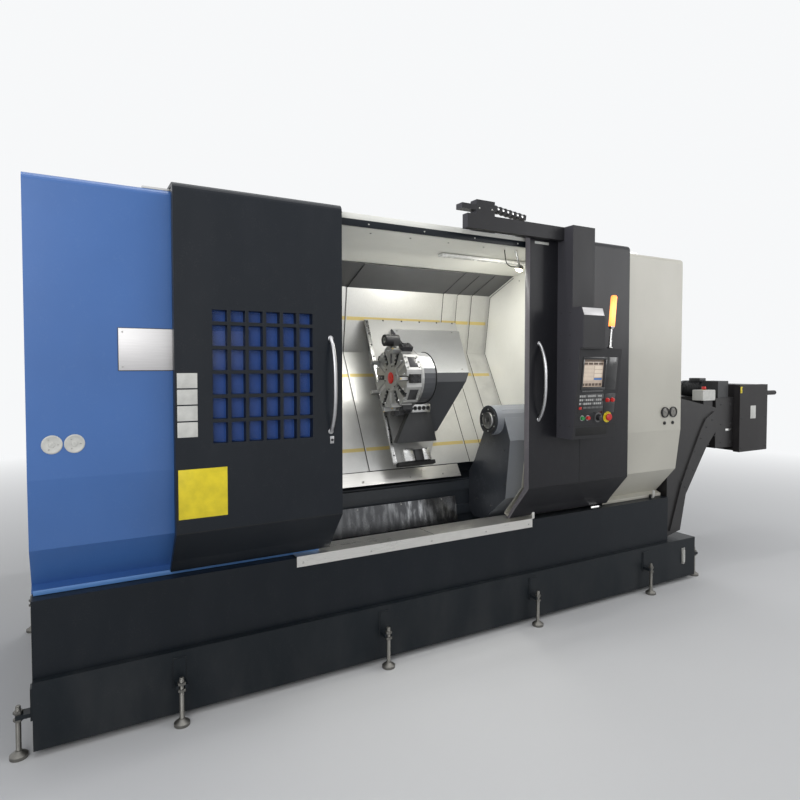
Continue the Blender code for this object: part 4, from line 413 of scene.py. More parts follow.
def grid(xs, ys, zs):
    """The places of rows and columns."""
    return [(x, y, z) for x in xs for y in ys for z in zs]


def screws(name, spots, axis, radius=0.006, body="machine", finish=zinc, sides=12):
    """Button-head screws with a hexagon socket, in a row."""
    wide = radius * 1000
    rise = wide * 0.55
    fit(repeat(turned(name, [(0, wide), (rise * 0.45, wide * 0.96), (rise * 0.85, wide * 0.72), (rise, wide * 0.5),
        (rise * 0.4, wide * 0.46)], sides=sides, angle=50, axis=axis), [at(*spot) for spot in spots]), finish, body)


FRONT, LEFT = (0, -1, 0), (-1, 0, 0)
screws("skirt_screws", grid((0,), (0.22, 0.6, 1.0, 1.4), (0.345, 0.57)), LEFT, 0.007)
screws("skirt_back_screws", grid((0.1, 1.0, 1.9, 2.8, 3.75), (1.47,), (0.345, 0.57)), (0, 1, 0), 0.007)

# Left-hand cover
# One folded sheet steel shell in blue enamel over headstock and spindle motor.
# A drip strip is screwed under its foot, and two plastic caps close holes for a gauge kit.
blue = enamel("blue_enamel", (0.05, 0.14, 0.385), (0.16, 0.25, 0.45), 0.36, dust=0.05, gloss=0.4, scuffs=0.06)
pale_blue = enamel("drip_strip_enamel", (0.11, 0.27, 0.6), (0.3, 0.38, 0.55), 0.34, dust=0.05)
dress(blue, "headstock_cover")
fit(cut("blue_drip_strip", (0.006, 0.2072, 0.6165), (1.234, 0.2116, 0.6368), 0.0012), pale_blue)
COVER_FACE = 0.0598
CAP = [(0, 36.5), (2.2, 36.5), (4.2, 34.5), (4.8, 31.5), (3.6, 29.5), (3.6, 12), (6.2, 10.5), (7, 8.5), (7, 4),
    (5, 3.6)]
fit(repeat(turned("blanking_caps", CAP, sides=40, axis=FRONT), [at(x, COVER_FACE, 1.242) for x in (0.084, 0.161)]),
    pale_plastic)
screws("blanking_screws", [(x + dx, 0.0562, 1.242 + dz) for x in (0.084, 0.161) for dx, dz in ((0.021, 0),
    (-0.0105, 0.0182), (-0.0105, -0.0182))], FRONT, 0.0032)

# Bare trim plate
# A thin anodised strip riveted to the blue cover behind the left door. It carries nothing.
plate_metal = brushed("anodised_sheet", (0.55, 0.54, 0.54), 0.42, (0.02, 1, 1), metal=0.7, stain=0.1)
fit(cut("trim_plate_edge", (0.319, 0.0575, 1.525), (0.831, COVER_FACE, 1.7), 0.0012), black)
fit(cut("trim_plate", (0.3215, 0.0566, 1.5275), (0.8285, 0.0582, 1.6975), 0.0006), plate_metal)
screws("trim_plate_rivets", grid((0.336, 0.575, 0.814), (0.0566,), (1.542, 1.683)), FRONT, 0.0035)

# Right-hand cover
# The same folded shell in warm white over tailstock and feed motor. Two pressure gauges sit in it
# with their adjusting studs below, and a drip strip and a grease pipe at its foot.
warm_white = enamel("warm_white_enamel", (0.49, 0.475, 0.415), (0.33, 0.32, 0.3), 0.36, dust=0.05, gloss=0.4,
    scuffs=0.06)
dress(warm_white, "right_cover")
fit(cut("white_drip_strip", (3.256, 0.2072, 0.6165), (3.846, 0.2116, 0.6368), 0.0012), warm_white)


def spun(turn, axis):
    """A turn in degrees."""
    return Matrix.Rotation(math.radians(turn), 4, axis)


def block(where, name, low, high, edge=0.001, steps=2):
    """A cut piece told from an origin of its own, which a matrix lays on the machine."""
    piece = cut(name, low, high, edge, steps)
    piece.data.transform(where @ moved(-at(0, 0, 0)))
    return piece


HERE = Matrix()
BEZEL = [(0, 36), (10, 36), (12.5, 34.5), (12.5, 31.2), (7.2, 30)]
bezel = turned("gauge_bezels", BEZEL, sides=48, axis=FRONT)
gauge_spots = [at(x, COVER_FACE, 1.231) for x in (3.68, 3.765)]
fit(repeat(bezel, gauge_spots), black)
fit(repeat(turned("gauge_dials", [(7, 29.6), (7.8, 29.6), (8, 29)], sides=48, axis=FRONT), gauge_spots),
    moulded("dial_face", (0.2, 0.19, 0.17), 0.3))
tick = block(HERE, "gauge_ticks", (-0.0006, 0, 0.0215), (0.0006, 0.0006, 0.027), 0.0001, 1)
ticks = [moved(spot + Vector((0, -0.0085, 0))) @ spun(-135 + 27 * i, "Y") for spot in gauge_spots
    for i in range(11)]
fit(repeat(tick, ticks), black)
pointer = block(HERE, "gauge_pointers", (-0.0008, 0, -0.006), (0.0008, 0.0008, 0.023), 0.0003, 1)
needles = [moved(spot + Vector((0, -0.0098, 0))) @ spun(turn, "Y") for spot, turn in zip(gauge_spots, (-62, -38))]
fit(repeat(pointer, needles), black)
fit(repeat(turned("gauge_studs", [(0, 11.5), (6, 11.5), (7.5, 9.5), (7.5, 6), (11, 6), (12, 4.5)], sides=20,
    axis=FRONT), [at(x, COVER_FACE, 1.158) for x in (3.68, 3.765)]), black)
fit(tube("grease_pipe", [at(3.735, 0.22, 0.6152), at(3.735, 0.2, 0.6152), at(3.735, 0.182, 0.622),
    at(3.735, 0.18, 0.64), at(3.735, 0.18, 0.672)], 0.0085), pale_plastic)
fit(turned("grease_fitting", [(0, 14), (2, 16.5), (12, 16.5), (14, 13), (22, 12.5)], at(3.735, 0.2, 0.6152),
    sides=6, angle=20), black)

# Roof and header
# White roof sheet over the opening with a folded front lip, a black header strip screwed below it,
# and the bright drawn rail that both doors hang on.
inner_white = enamel("work_area_enamel", (0.8, 0.8, 0.745), (0.45, 0.44, 0.4), 0.4, dust=0.08, scuffs=0.08)
dress(inner_white, "roof_panel", "left_inner_wall", "right_inner_wall", "ceiling_panel")
rail_steel = brushed("drawn_rail_steel", (0.55, 0.55, 0.55), 0.28, (0.02, 1, 1))
dress(rail_steel, "roof_rail")
fit(cut("roof_lip", (1.243, 0.0545, 2.2545), (2.004, 0.0597, 2.2832), 0.0015), inner_white)
fit(cut("header_strip", (1.243, 0.05, 2.2205), (2.457, 0.0597, 2.2538), 0.0012), skirt_enamel)
screws("header_screws", grid((1.44, 1.76, 2.08, 2.38), (0.05,), (2.236,)), FRONT, 0.0042)
screws("ceiling_screws", [(x, y, 2.225 - (y - 0.0905) * 0.091 - 0.0008) for y in (0.15,) for x in (1.02, 1.26, 1.5,
    1.735, 1.975, 2.215, 2.455, 2.695)], (0, -0.09, -1), 0.0055)
screws("roof_screws", grid((1.27, 1.85, 2.43), (0.35, 0.75, 1.15, 1.45), (2.276,)), (0, 0, 1), 0.007)

# Work light
# A round glowing lens in a polished ring near the opening's right end, on a short cable,
# with the end cap of the lamp housing beside it.
polished = brushed("polished_steel", (0.62, 0.62, 0.61), 0.16, (1, 1, 1), stain=0.05, bump=0.01)


def glowing(name, colour, strength, centre, spread):
    """A lit lens: brightest in the middle, a little deeper in colour towards its rim."""
    material, shader, place = begin(name, roughness=0.25, emission_strength=strength, base_color=(*[c * 0.5
        for c in colour], 1))
    away = place.node("VectorMath", {"operation": "DISTANCE"}, {0: place, 1: centre}, out=1)
    ripple = grain(place, 90.0, 2)
    glow = blend(band(away + ripple * spread * 0.2, spread * 0.3, spread), colour, [c * c for c in colour])
    feed(shader, emission_color=glow)
    return material


LIGHT_SPOT = at(2.455, 0.125, 2.107)
fit(turned("work_light_ring", [(-20, 16), (-18, 22), (0, 26), (4, 26), (6, 24), (3, 21)], LIGHT_SPOT,
    (-0.35, -0.15, -0.9)), polished)
fit(turned("work_light_lens", [(2.8, 20.5), (6, 18.5), (8, 12), (8.8, 5)], LIGHT_SPOT, (-0.35, -0.15, -0.9)),
    glowing("work_light_glow", (1.0, 0.95, 0.8), 6.0, LIGHT_SPOT, 0.03))
fit(tube("work_light_stem", [at(2.461, 0.128, 2.123), at(2.463, 0.145, 2.157), at(2.45, 0.15, 2.219)], 0.006),
    polished)
fit(tube("work_light_cable", [at(2.455, 0.129, 2.125), at(2.425, 0.145, 2.119), at(2.385, 0.155, 2.137),
    at(2.375, 0.155, 2.18), at(2.372, 0.157, 2.2185)], 0.0028), rubber)
fit(cut("lamp_end_cap", (2.832, 0.1, 2.105), (2.8715, 0.3, 2.2045), 0.004), inner_white)
screws("lamp_cap_screws", grid((2.832,), (0.112, 0.288), (2.117, 2.19)), LEFT, 0.0042)
fit(cut("ceiling_light", (2.05, 0.32, 2.183), (2.8, 0.372, 2.1985), 0.004), moulded("frosted_cover",
    (0.8, 0.8, 0.78), 0.25, 0.5, 0.02))

# End walls of the work area
# White enamelled sheets that follow the covers' side line, held by button-head screws round the edge.
RIM = [(0.085, 0.9), (0.085, 1.35), (0.085, 1.8), (0.085, 2.18), (0.36, 2.17), (0.61, 2.13)]
screws("right_wall_screws", [(2.872, y, z) for y, z in RIM[1:]], LEFT, 0.005)
screws("left_wall_screws", [(0.92, y, z) for y, z in RIM[:4]], (1, 0, 0), 0.005)

# Telescopic way covers
# Folded stainless sheets that slide behind one another over the slanted bed. A rubber wiper closes
# each free edge, and thin brass-coloured bands run across them at three heights.
# The way covers' faces that look downward are painted dark: painted shade.
cover_steel = brushed("way_cover_steel", (0.6, 0.6, 0.585), 0.33, (1, 1, 0.03), metal=0.8, stain=0.6,
    stain_colour=0.62, painted_facing_light=(2, -0.85, -0.55, (0.085, 0.087, 0.09)))
COVERS = {"way_cover_carriage": (0, 1.722, 2.458, "carriage"), "way_cover_left_mid": (1, 1.372, 1.802,
    "cover_left_mid"), "way_cover_left_end": (2, 1.122, 1.452, "cover_left_end"), "way_cover_left_fixed": (3,
    0.9203, 1.2003, "machine"), "way_cover_right_mid": (1, 2.202, 2.7, "cover_right_mid"),
    "way_cover_right_end": (2, 2.452, 2.862, "cover_right_end"), "way_cover_right_fixed": (3, 2.5717, 2.8717,
    "machine")}
dress(cover_steel, *COVERS)
COVER_LINE = [(0.665, 2.16), (0.93, 2.05), (0.99, 1.635), (0.61, 0.915)]
SHEET = 0.003
LAYER = 0.0033
SIDE = Matrix(((0, 0, 1), (1, 0, 0), (0, 1, 0))).to_4x4()
FACE_ON = Matrix(((1, 0, 0), (0, 0, -1), (0, 1, 0))).to_4x4()


def beside(line, distance):
    """The same folded line a distance to its left."""
    line = [Vector(point) for point in line]
    normals = [Vector((-(b - a).y, (b - a).x)).normalized() for a, b in zip(line, line[1:])]
    normals = [normals[0]] + normals + [normals[-1]]
    shifted = []
    for point, one, two in zip(line, normals, normals[1:]):
        middle = (one + two).normalized()
        shifted.append(point + middle * distance / middle.dot(one))
    return shifted


def plate(name, outline, thickness, spot, edge=0.001, steps=2):
    """A plate cut to an outline in its own plane, given its thickness, and laid by a matrix."""
    bpy.ops.object.select_all(action="DESELECT")
    bpy.ops.mesh.primitive_circle_add(vertices=len(outline), radius=1, fill_type="NGON")
    piece = bpy.context.active_object
    piece.name = name
    for corner, point in zip(piece.data.vertices, outline):
        corner.co = (*point, 0)
    bpy.ops.object.mode_set(mode="EDIT")
    bpy.ops.mesh.select_all(action="SELECT")
    bpy.ops.mesh.extrude_region_move(TRANSFORM_OT_translate={"value": (0, 0, thickness)})
    bpy.ops.mesh.select_all(action="SELECT")
    bpy.ops.mesh.normals_make_consistent(inside=False)
    bpy.ops.object.mode_set(mode="OBJECT")
    soften(piece, edge, steps)
    piece.data.transform(spot)
    return piece


def on_line(height):
    """Depth of the covers' face at a height, with its direction up the face."""
    for (y1, z1), (y0, z0) in zip(COVER_LINE, COVER_LINE[1:]):
        if z0 <= height <= z1:
            share = (height - z0) / (z1 - z0)
            return Vector((y0 + (y1 - y0) * share, height)), Vector((y1 - y0, z1 - z0)).normalized()


brass = brushed("brass_band", (0.62, 0.5, 0.2), 0.36, (0.04, 1, 1), metal=0.55, stain=0.5)
for cover, (layer, left, right, body) in COVERS.items():
    bands = []
    for height in (1.855, 1.485, 1.037):
        middle, up = on_line(height)
        out = Vector((-up.y, up.x))
        low, high = middle - up * 0.0115, middle + up * 0.0115
        skin = [p + out * (d - layer * LAYER) for p, d in ((low, 0.00004), (high, 0.00004), (high, 0.00022),
            (low, 0.00022))]
        strip = plate(cover + "_bands", skin, right - left - 0.016, moved(at(left + 0.008, 0, 0)) @ SIDE, 0)
        bands.append(strip)
    pick(*bands[::-1])
    bpy.ops.object.join()
    fit(bands[0], brass, body)
    face = beside(COVER_LINE, -layer * LAYER - 0.0002)
    wiper_line = face + beside(COVER_LINE, -layer * LAYER - SHEET + 0.0002)[::-1]
    free_ends = {"way_cover_left_fixed": (right + 0.0001,), "way_cover_right_fixed": (left - 0.0026,),
        "way_cover_carriage": (left - 0.0026, right + 0.0001)}
    for end in free_ends.get(cover, (left - 0.0026,) if "left" in cover else (right + 0.0001,)):
        fit(plate(cover + "_wiper", wiper_line, 0.0025, moved(at(end, 0, 0)) @ SIDE, 0), rubber, body)

# Chip deflector and front tray
# Bright stainless strips above and in front of the chip conveyor; the tray hangs over the skirt
# as a sill, is joined in the middle, and has an upright end strip beside the tailstock.
bright_sheet = brushed("bright_stainless", (0.68, 0.67, 0.64), 0.24, (0.02, 1, 1), metal=0.85, stain=0.3)
dress(bright_sheet, "chip_deflector", "front_tray")
seam_line = [(0.15, 0.6224), (0.3, 0.619), (0.398, 0.5928), (0.398, 0.592), (0.3, 0.6182), (0.15, 0.6216)]
fit(plate("tray_seam", [(y, z + 0.0004) for y, z in seam_line], 0.0022, moved(at(1.884, 0, 0)) @ SIDE, 0), rubber)
fit(cut("tray_end_strip", (2.592, 0.152, 0.6185), (2.612, 0.44, 0.668), 0.0015), bright_sheet)
screws("sill_screws", grid((1.13, 1.5, 1.87, 2.24, 2.56), (0.1467,), (0.59,)), FRONT, 0.005)
screws("deflector_screws", grid((1.02, 1.34, 1.66, 1.98, 2.22), (0.5675,), (0.862,)), (0, -1, 0.4), 0.0055)

fit(plate("deflector_end", [(0.6085, 0.9095), (0.5615, 0.8375), (0.5595, 0.8388), (0.6065, 0.9108)], 0.085,
    moved(at(2.2705, 0, 0)) @ SIDE, 0.0004, 1), bright_sheet)
oily, oily_shader, oily_place = begin("oily_sheet", metallic=0.85)
streak = band(grain(oily_place, 30.0, 4, (1, 1, 0.16)), 0.44, 0.6)
pool = band(grain(oily_place, 3.2, 3), 0.4, 0.62) * band(along(oily_place, 0), -1.15, -0.55)
feed(oily_shader, base_color=blend(streak * pool, (0.085, 0.087, 0.092), (0.42, 0.43, 0.44)),
    roughness=0.3 - pool * 0.14)
relief(oily_shader, streak + grain(oily_place, 300.0, 2) * 0.3, 0.12, 0.0006)
fit(plate("chip_guide_sheet", [(0.6335, 0.696), (0.6, 0.536), (0.5982, 0.536), (0.6317, 0.696)], 1.405,
    moved(at(0.952, 0, 0)) @ SIDE, 0.0004, 1), oily)
screws("guide_sheet_screws", grid((1.05, 1.35, 1.65, 1.95, 2.25), (0.6292,), (0.684,)), (0, -0.98, 0.2), 0.0055)

# Left sliding door
# A thick folded panel in black enamel with a grid of window openings. A tinted sheet is glazed
# behind them, and two plain label plates are stuck beside the grid. They carry nothing.
door_black = enamel("left_door_enamel", (0.0062, 0.009, 0.0135), (0.08, 0.08, 0.08), 0.4, dust=0.03, gloss=0.22,
    coat=0.12, scuffs=0.08)
dress(door_black, "left_door", edge=0.0012)
glass, glass_shader, glass_place = begin("tinted_sheet", roughness=0.06, ior=1.5, alpha=0.5,
    specular_ior_level=0.25)
film = band(grain(glass_place, 9.0, 5), 0.45, 0.8)
feed(glass_shader, base_color=blend(film, (0.05, 0.125, 0.45), (0.07, 0.15, 0.48)), alpha=0.44 + film * 0.08,
    roughness=0.05 + film * 0.2)
dress(glass, "left_window")
bead_line = [at(x, 0.0432, z) for x, z in ((0.66, 1.198), (0.66, 1.801), (1.145, 1.801), (1.145, 1.198),
    (0.66, 1.198))]
fit(tube("window_seal", bead_line, 0.0028, 2, 2), rubber, "left_door")
fit(repeat(cut("pale_label_plates", (0.5335, -0.0009, 0), (0.6145, 0.0002, 0.0625), 0.0004),
    [Vector((0, 0, 1.248 + 0.0683 * i)) for i in range(4)]), pale_plastic, "left_door")
yellow = moulded("yellow_vinyl", (0.72, 0.58, 0.02), 0.42, 0.4, 0.04)
fit(cut("yellow_label_plate", (0.5345, -0.0009, 0.905), (0.7355, 0.0002, 1.113), 0.0004), yellow, "left_door")

# Door handles and lock
# Bow handles of polished tube with a round rosette at each foot, and a key lock under the left one.
handle_steel = brushed("handle_steel", (0.46, 0.46, 0.47), 0.26, (1, 1, 0.05), stain=0.15)
dress(handle_steel, "left_handle", "right_handle")
ROSETTE = [(0, 12.8), (1.2, 12.8), (2.6, 11.6), (3.2, 10), (3.2, 8.8)]
for side, station, body in (("left", 1.216, "left_door"), ("right", 2.5, "right_door")):
    fit(repeat(turned(side + "_handle_rosettes", ROSETTE, sides=32, axis=FRONT), [at(station, 0, z)
        for z in (1.2392, 1.6728)]), handle_steel, body)
fit(cut("lock_plate", (1.2115, -0.0022, 1.182), (1.2305, 0.0003, 1.2165), 0.0009), handle_steel, "left_door")
key = turned("lock_cylinder", [(0, 6.2), (4, 6.2), (5.2, 5.2), (5.2, 1.2), (4, 1)], at(1.221, -0.002, 1.199), FRONT,
    sides=24)
fit(key, black, "left_door")

# Right sliding door
# The same folded panel in charcoal, with an aluminium sealing strip on its closing edge and
# a pale insert in a short slot at the top.
charcoal = enamel("right_door_enamel", (0.0085, 0.0086, 0.0112), (0.09, 0.09, 0.09), 0.4, dust=0.03, gloss=0.22,
    coat=0.12, scuffs=0.08)
dress(charcoal, "right_door", edge=0.0012)
DOOR_EDGE = [(0.165, 0.6402), (0.12, 0.7), (0.0002, 0.842), (0.0002, 2.268), (0.012, 2.292), (0.0398, 2.2985),
    (0.0398, 0.842), (0.142, 0.7073), (0.1868, 0.6402)]
seal_metal = enamel("sealing_strip", (0.13, 0.122, 0.135), (0.4, 0.4, 0.42), 0.34, dust=0.04)
fit(plate("right_door_seal", DOOR_EDGE, 0.001, moved(at(2.4269, 0, 0)) @ SIDE, 0.0003), seal_metal, "right_door")
fit(cut("top_slot_insert", (2.461, -0.0013, 2.237), (2.566, 0.0004, 2.251), 0.0006), pale_plastic, "right_door")
fit(cut("door_joint", (2.8245, -0.0007, 0.846), (2.827, 0.0003, 1.126), 0.0002), rubber, "right_door")
fit(cut("door_hem", (2.43, -0.0009, 0.8435), (3.247, 0.0002, 0.8465), 0.0002), rubber, "right_door")
fit(cut("left_door_hem", (0.526, -0.0009, 0.8435), (1.273, 0.0002, 0.8465), 0.0002), rubber, "left_door")

# Console
# Tower, head and tilted screen unit in textured charcoal on the right door. The screen shows plain
# coloured fields; keys, push buttons, knob and rotary stop sit below it.
# The console's faces that look to the left are painted lighter: painted light.
console_paint = enamel("console_enamel", (0.014, 0.0138, 0.0158), (0.09, 0.09, 0.09), 0.48, peel=1.2, dust=0.04,
    gloss=0.3, coat=0.0, scuffs=0.06, painted_facing_light=(0, -0.75, -0.45, (0.056, 0.055, 0.064)))
dress(console_paint, "console_housing", edge=0.0012)
SLOPE = Matrix(((1, 0, 0), (0, 0.349, -0.9371), (0, 0.9371, 0.349))).to_4x4()
fit(block(moved(at(2.643, -0.2005, 1.8285)) @ SLOPE, "console_head_top", (0, 0, 0), (0.16, 0.0455, 0.0012), 0.0004),
    plate_metal, "right_door")
FACE = moved(at(2.637, -0.18, 1.646)) @ Matrix(((1, 0, 0), (0, -0.1016, -0.9948), (0, 0.9948, -0.1016))).to_4x4()


def panel(name, inset, drop, width, height, low, high, finish, edge=0.0004, spots=((0, 0, 0),), body="right_door"):
    """A flat piece on the console's tilted face, told from its top left corner."""
    home = moved((inset, -drop - height, low))
    piece = block(home, name, (0, 0, 0), (width, height, high - low), edge)
    fit(repeat(piece, [FACE @ moved(spot) for spot in spots]), finish, body)


def across(step, count, drop=0.0):
    """The steps of a row on the console's face."""
    return [(step * i, -drop * i, 0) for i in range(count)]


def on_face(inset, drop, proud):
    return FACE @ Vector((inset, -drop, proud))


OUT = FACE.to_3x3() @ Vector((0, 0, 1))
gloss_black = moulded("gloss_black", (0.008, 0.008, 0.009), 0.16, 0.6, 0.01)
panel("screen_frame_top", 0.03, 0.05, 0.191, 0.014, -0.001, 0.0025, gloss_black, 0.001, across(0, 2, 0.175))
panel("screen_side_bezel", 0.212, 0.05, 0.098, 0.19, -0.0006, 0.0022, gloss_black, 0.001)
panel("screen_frame_side", 0.03, 0.0645, 0.0125, 0.16, -0.001, 0.0025, gloss_black, 0.001, across(0.1785, 2))


def lit(name, colour, strength=0.55):
    """A field of the lit screen, with the panel's faint unevenness."""
    material, shader, place = begin(name, roughness=0.2, emission_strength=strength, base_color=(*[c * 0.4
        for c in colour], 1))
    feed(shader, emission_color=varied(grain(place, 30.0, 3), colour, 1, 1.1))
    return material


screen_grey, screen_dark, screen_rose = (lit("screen_field", (0.52, 0.42, 0.34)), lit("screen_dark_field",
    (0.1, 0.07, 0.05)), lit("screen_light_field", (0.75, 0.64, 0.52)))
screen_blue = lit("screen_marked_field", (0.05, 0.16, 0.42))
GLASS, FIELD = -0.0104, -0.0099
panel("screen_ground", 0.0435, 0.0665, 0.164, 0.156, -0.0118, GLASS, screen_grey)
panel("screen_title", 0.0445, 0.0675, 0.162, 0.011, GLASS, FIELD, screen_dark, 0)
panel("screen_values", 0.048, 0.083, 0.034, 0.0125, GLASS, FIELD, screen_dark, 0, across(0.0405, 4))
panel("screen_rows", 0.048, 0.102, 0.085, 0.0042, GLASS, FIELD, screen_rose, 0, across(0, 11, 0.0078))
panel("screen_side_fields", 0.14, 0.102, 0.062, 0.0185, GLASS, FIELD, screen_rose, 0, across(0, 3, 0.0228))
panel("screen_marked_row", 0.14, 0.172, 0.062, 0.011, GLASS, FIELD, screen_blue, 0)
panel("screen_soft_fields", 0.046, 0.202, 0.0215, 0.015, GLASS, FIELD, screen_dark, 0, across(0.0268, 6))
key_grey = moulded("key_grey", (0.1, 0.1, 0.1), 0.45)
key_white = moulded("key_white", (0.42, 0.42, 0.41), 0.42)
red_plastic = moulded("red_plastic", (0.55, 0.012, 0.008), 0.3, 0.5, 0.03)
green_plastic = moulded("green_plastic", (0.02, 0.25, 0.06), 0.35, 0.5, 0.03)
panel("soft_keys", 0.0435, 0.242, 0.014, 0.0085, 0, 0.0018, key_grey, 0.0006, across(0.0166, 10))
panel("key_field", 0.02, 0.262, 0.2, 0.113, -0.0005, 0.0006, gloss_black, 0.0003)
KEY_X, KEY_Z = 0.0162, 0.0215
for name, finish, grey in (("white_keys", key_white, False), ("grey_keys", key_grey, True)):
    spots = [(KEY_X * i, -KEY_Z * j, 0) for i in range(11) for j in range(3) if ((i + j) % 5 == 3) == grey]
    panel(name, 0.028, 0.269, 0.0118, 0.0115, 0.0004, 0.0024, finish, 0.0007, spots)
panel("long_keys", 0.0605, 0.335, 0.028, 0.0115, 0.0004, 0.0024, key_grey, 0.0007, across(0.0324, 5))
panel("red_key", 0.028, 0.335, 0.02, 0.015, 0.0004, 0.004, red_plastic, 0.001)
panel("switch_plate", 0.228, 0.262, 0.088, 0.113, -0.0005, 0.001, gloss_black, 0.0004)
fit(repeat(turned("red_lamp_buttons", [(0, 13.5), (3, 13.5), (4, 11.5), (11.5, 11), (13, 9), (13.4, 5)], sides=28,
    axis=OUT), [on_face(inset, 0.3, 0.0005) for inset in (0.25, 0.292)]), red_plastic, "right_door")
dress(green_plastic, "cycle_start_button")
dress(red_plastic, "feed_hold_button", "emergency_stop")
dress(black, "override_knob")


def ring(name, inner, outer, height, foot, axis, sides=40, edge=0.6):
    """A collar with a bore, turned from a closed profile in millimetres."""
    walls = [(0, inner), (0, outer - edge), (edge, outer), (height - edge, outer), (height, outer - edge),
        (height, inner + edge), (height - edge, inner), (0, inner)]
    return turned(name, walls, foot, axis, sides, fill="NOTHING")


for name, inset, inner, outer, finish in (("start_collar", 0.06, 11.6, 15.5, handle_steel),
        ("hold_collar", 0.105, 11.6, 15.5, handle_steel), ("stop_collar", 0.265, 10.8, 33, yellow),
        ("knob_scale", 0.19, 10.8, 29, key_grey)):
    fit(ring(name, inner, outer, 0.9, on_face(inset, 0.4, 0.0001), OUT), finish, "right_door")
panel("knob_pointer", 0.1892, 0.385, 0.0016, 0.012, 0.0219, 0.0225, key_white, 0.0002, body="override")
scale_mark = block(HERE, "knob_marks", (-0.00045, 0.0232, 0.0009), (0.00045, 0.0267, 0.0012), 0, 1)
marks = [FACE @ moved((0.19, -0.4, 0)) @ spun(-150 + 25 * i, "Z") for i in range(13)]
fit(repeat(scale_mark, marks), black, "right_door")
panel("lower_recess", 0.02, 0.455, 0.25, 0.048, -0.0004, 0.0007, rubber, 0.0003)
panel("console_seam", 0.001, 0.4445, 0.336, 0.0022, -0.0002, 0.0005, rubber, 0)
fit(cut("head_seam", (2.6365, -0.2026, 1.6445), (2.8095, -0.18, 1.6475), 0.0003), rubber, "right_door")
screws("console_screws", grid((2.6365,), (-0.1, -0.03), (1.2, 1.58, 1.72, 1.85)), LEFT, 0.0045, "right_door", black)
fit(tube("door_guide_roller", [at(3.095, 0.1625, 0.6262), at(3.165, 0.1625, 0.6262)], 0.0112, 4, 2), polished)

# Signal lamp
# A tall amber lens lit from inside on a thin chromed post, which leans a little from its clamp.
LAMP_AXIS = Vector((math.sin(math.radians(6)), 0, math.cos(math.radians(6))))
lamp_foot = at(2.95, -0.11, 1.646)
fit(turned("lamp_post", [(3.5, 15), (6, 16.5), (10.5, 15), (12.5, 8.5), (40, 7.5), (42, 9.8), (52, 9.8), (54, 6.2),
    (118, 6.2), (120, 12), (130, 16.5), (134, 16.5)], lamp_foot, LAMP_AXIS), polished, "right_door")
fit(turned("amber_lens", [(133.5, 17), (136, 17.8), (308, 17.8), (316, 15), (319, 8)], lamp_foot, LAMP_AXIS, 40),
    glowing("amber_glow", (1.0, 0.36, 0.1), 2.5, lamp_foot + LAMP_AXIS * 0.22, 0.16), "right_door", ["signal_lamp"])

# Cable carrier
# A folded mast with an arm on the roof, and a chain of moulded links with snap-in crossbars and pins.
dress(console_paint, "cable_carrier", edge=0.0008)
CHAIN = moved(at(2.305, 0.177, 2.4577)) @ spun(7, "Y")
link_pin = turned("chain_pins", [(0, 7.5), (1.2, 7.5), (1.8, 6.2), (1.8, 3), (1, 2.6)], sides=20)
pins = [CHAIN @ moved((0.036 * i, side, 0)) @ spun(turn, "X") for i in range(1, 7) for side,
    turn in ((-0.0002, 90), (0.0442, -90))]
fit(repeat(link_pin, pins), polished)
bar = block(HERE, "chain_crossbars", (0, 0, 0), (0.01, 0.046, 0.0022), 0.0006)
bars = [CHAIN @ moved((0.036 * i + 0.013, -0.001, side)) for i in range(7) for side in (0.0146, -0.0168)]
fit(repeat(bar, bars), black)
screws("mast_screws", grid((2.2, 2.29), (0.169,), (2.3, 2.44)), FRONT, 0.006)

# Bed, carriage and feed drive
# One grey iron casting with ground slideways, the saddle that runs on them, and a ground ball screw
# turned by a motor at the right end. They show behind the covers when these slide away.
cast_iron = enamel("cast_iron_enamel", (0.02, 0.025, 0.032), (0.12, 0.12, 0.12), 0.5, peel=2.2, dust=0.1)
ground_steel = brushed("ground_steel", (0.6, 0.6, 0.59), 0.2, (0.05, 1, 1), stain=0.3)
dress(cast_iron, "bed_casting", "saddle", "headstock")
dress(ground_steel, "feed_screw")
motor_black = enamel("motor_enamel", (0.02, 0.021, 0.023), (0.12, 0.12, 0.12), 0.5, peel=1.5, dust=0.12)
dress(motor_black, "feed_motor", "spindle_motor", edge=0.002)
screws("headstock_bolts", grid((0.3, 0.48, 0.67, 0.86), (0.13,), (1.03, 1.37)), FRONT, 0.011, finish=ground_steel)

# Spindle motor, pulleys and belt
# A square cast motor with cooling fins on the headstock. A toothed belt joins its steel pulley
# to the one on the spindle's left end.


def bolt_circle(x, centre, radius, count, first=0.0):
    """Places round a centre, in a plane across the machine."""
    angles = [math.tau * (i + first) / count for i in range(count)]
    return [(x, centre[0] + radius * math.cos(a), centre[1] + radius * math.sin(a)) for a in angles]


SPINDLE = (0.362, 1.209)
fin = cut("motor_fins", (0.235, 0, 0), (0.625, 0.276, 0.005), 0.0012)
fit(repeat(cut("motor_ribs", (0.24, 0, 0), (0.62, 0.005, 0.008), 0.0016), [Vector((0, 0.47 + 0.024 * i, 1.7999))
    for i in range(10)]), motor_black)
fit(repeat(fin, [Vector((0, 0.442, 1.5215))]), motor_black)
dress(ground_steel, "spindle", "motor_pulley")
dress(rubber, "drive_belt")
screws("motor_pulley_screws", bolt_circle(0.062, (0.58, 1.66), 0.052, 6), LEFT, 0.007, "motor_pulley", black)
screws("spindle_pulley_screws", bolt_circle(0.062, SPINDLE, 0.085, 8), LEFT, 0.008, "spindle", black)

# Chuck
# A turned and ground three-jaw chuck on the spindle nose. Its hard jaws carry stepped top jaws,
# each held by two socket-head screws, and three long bolts hold the chuck to the nose.


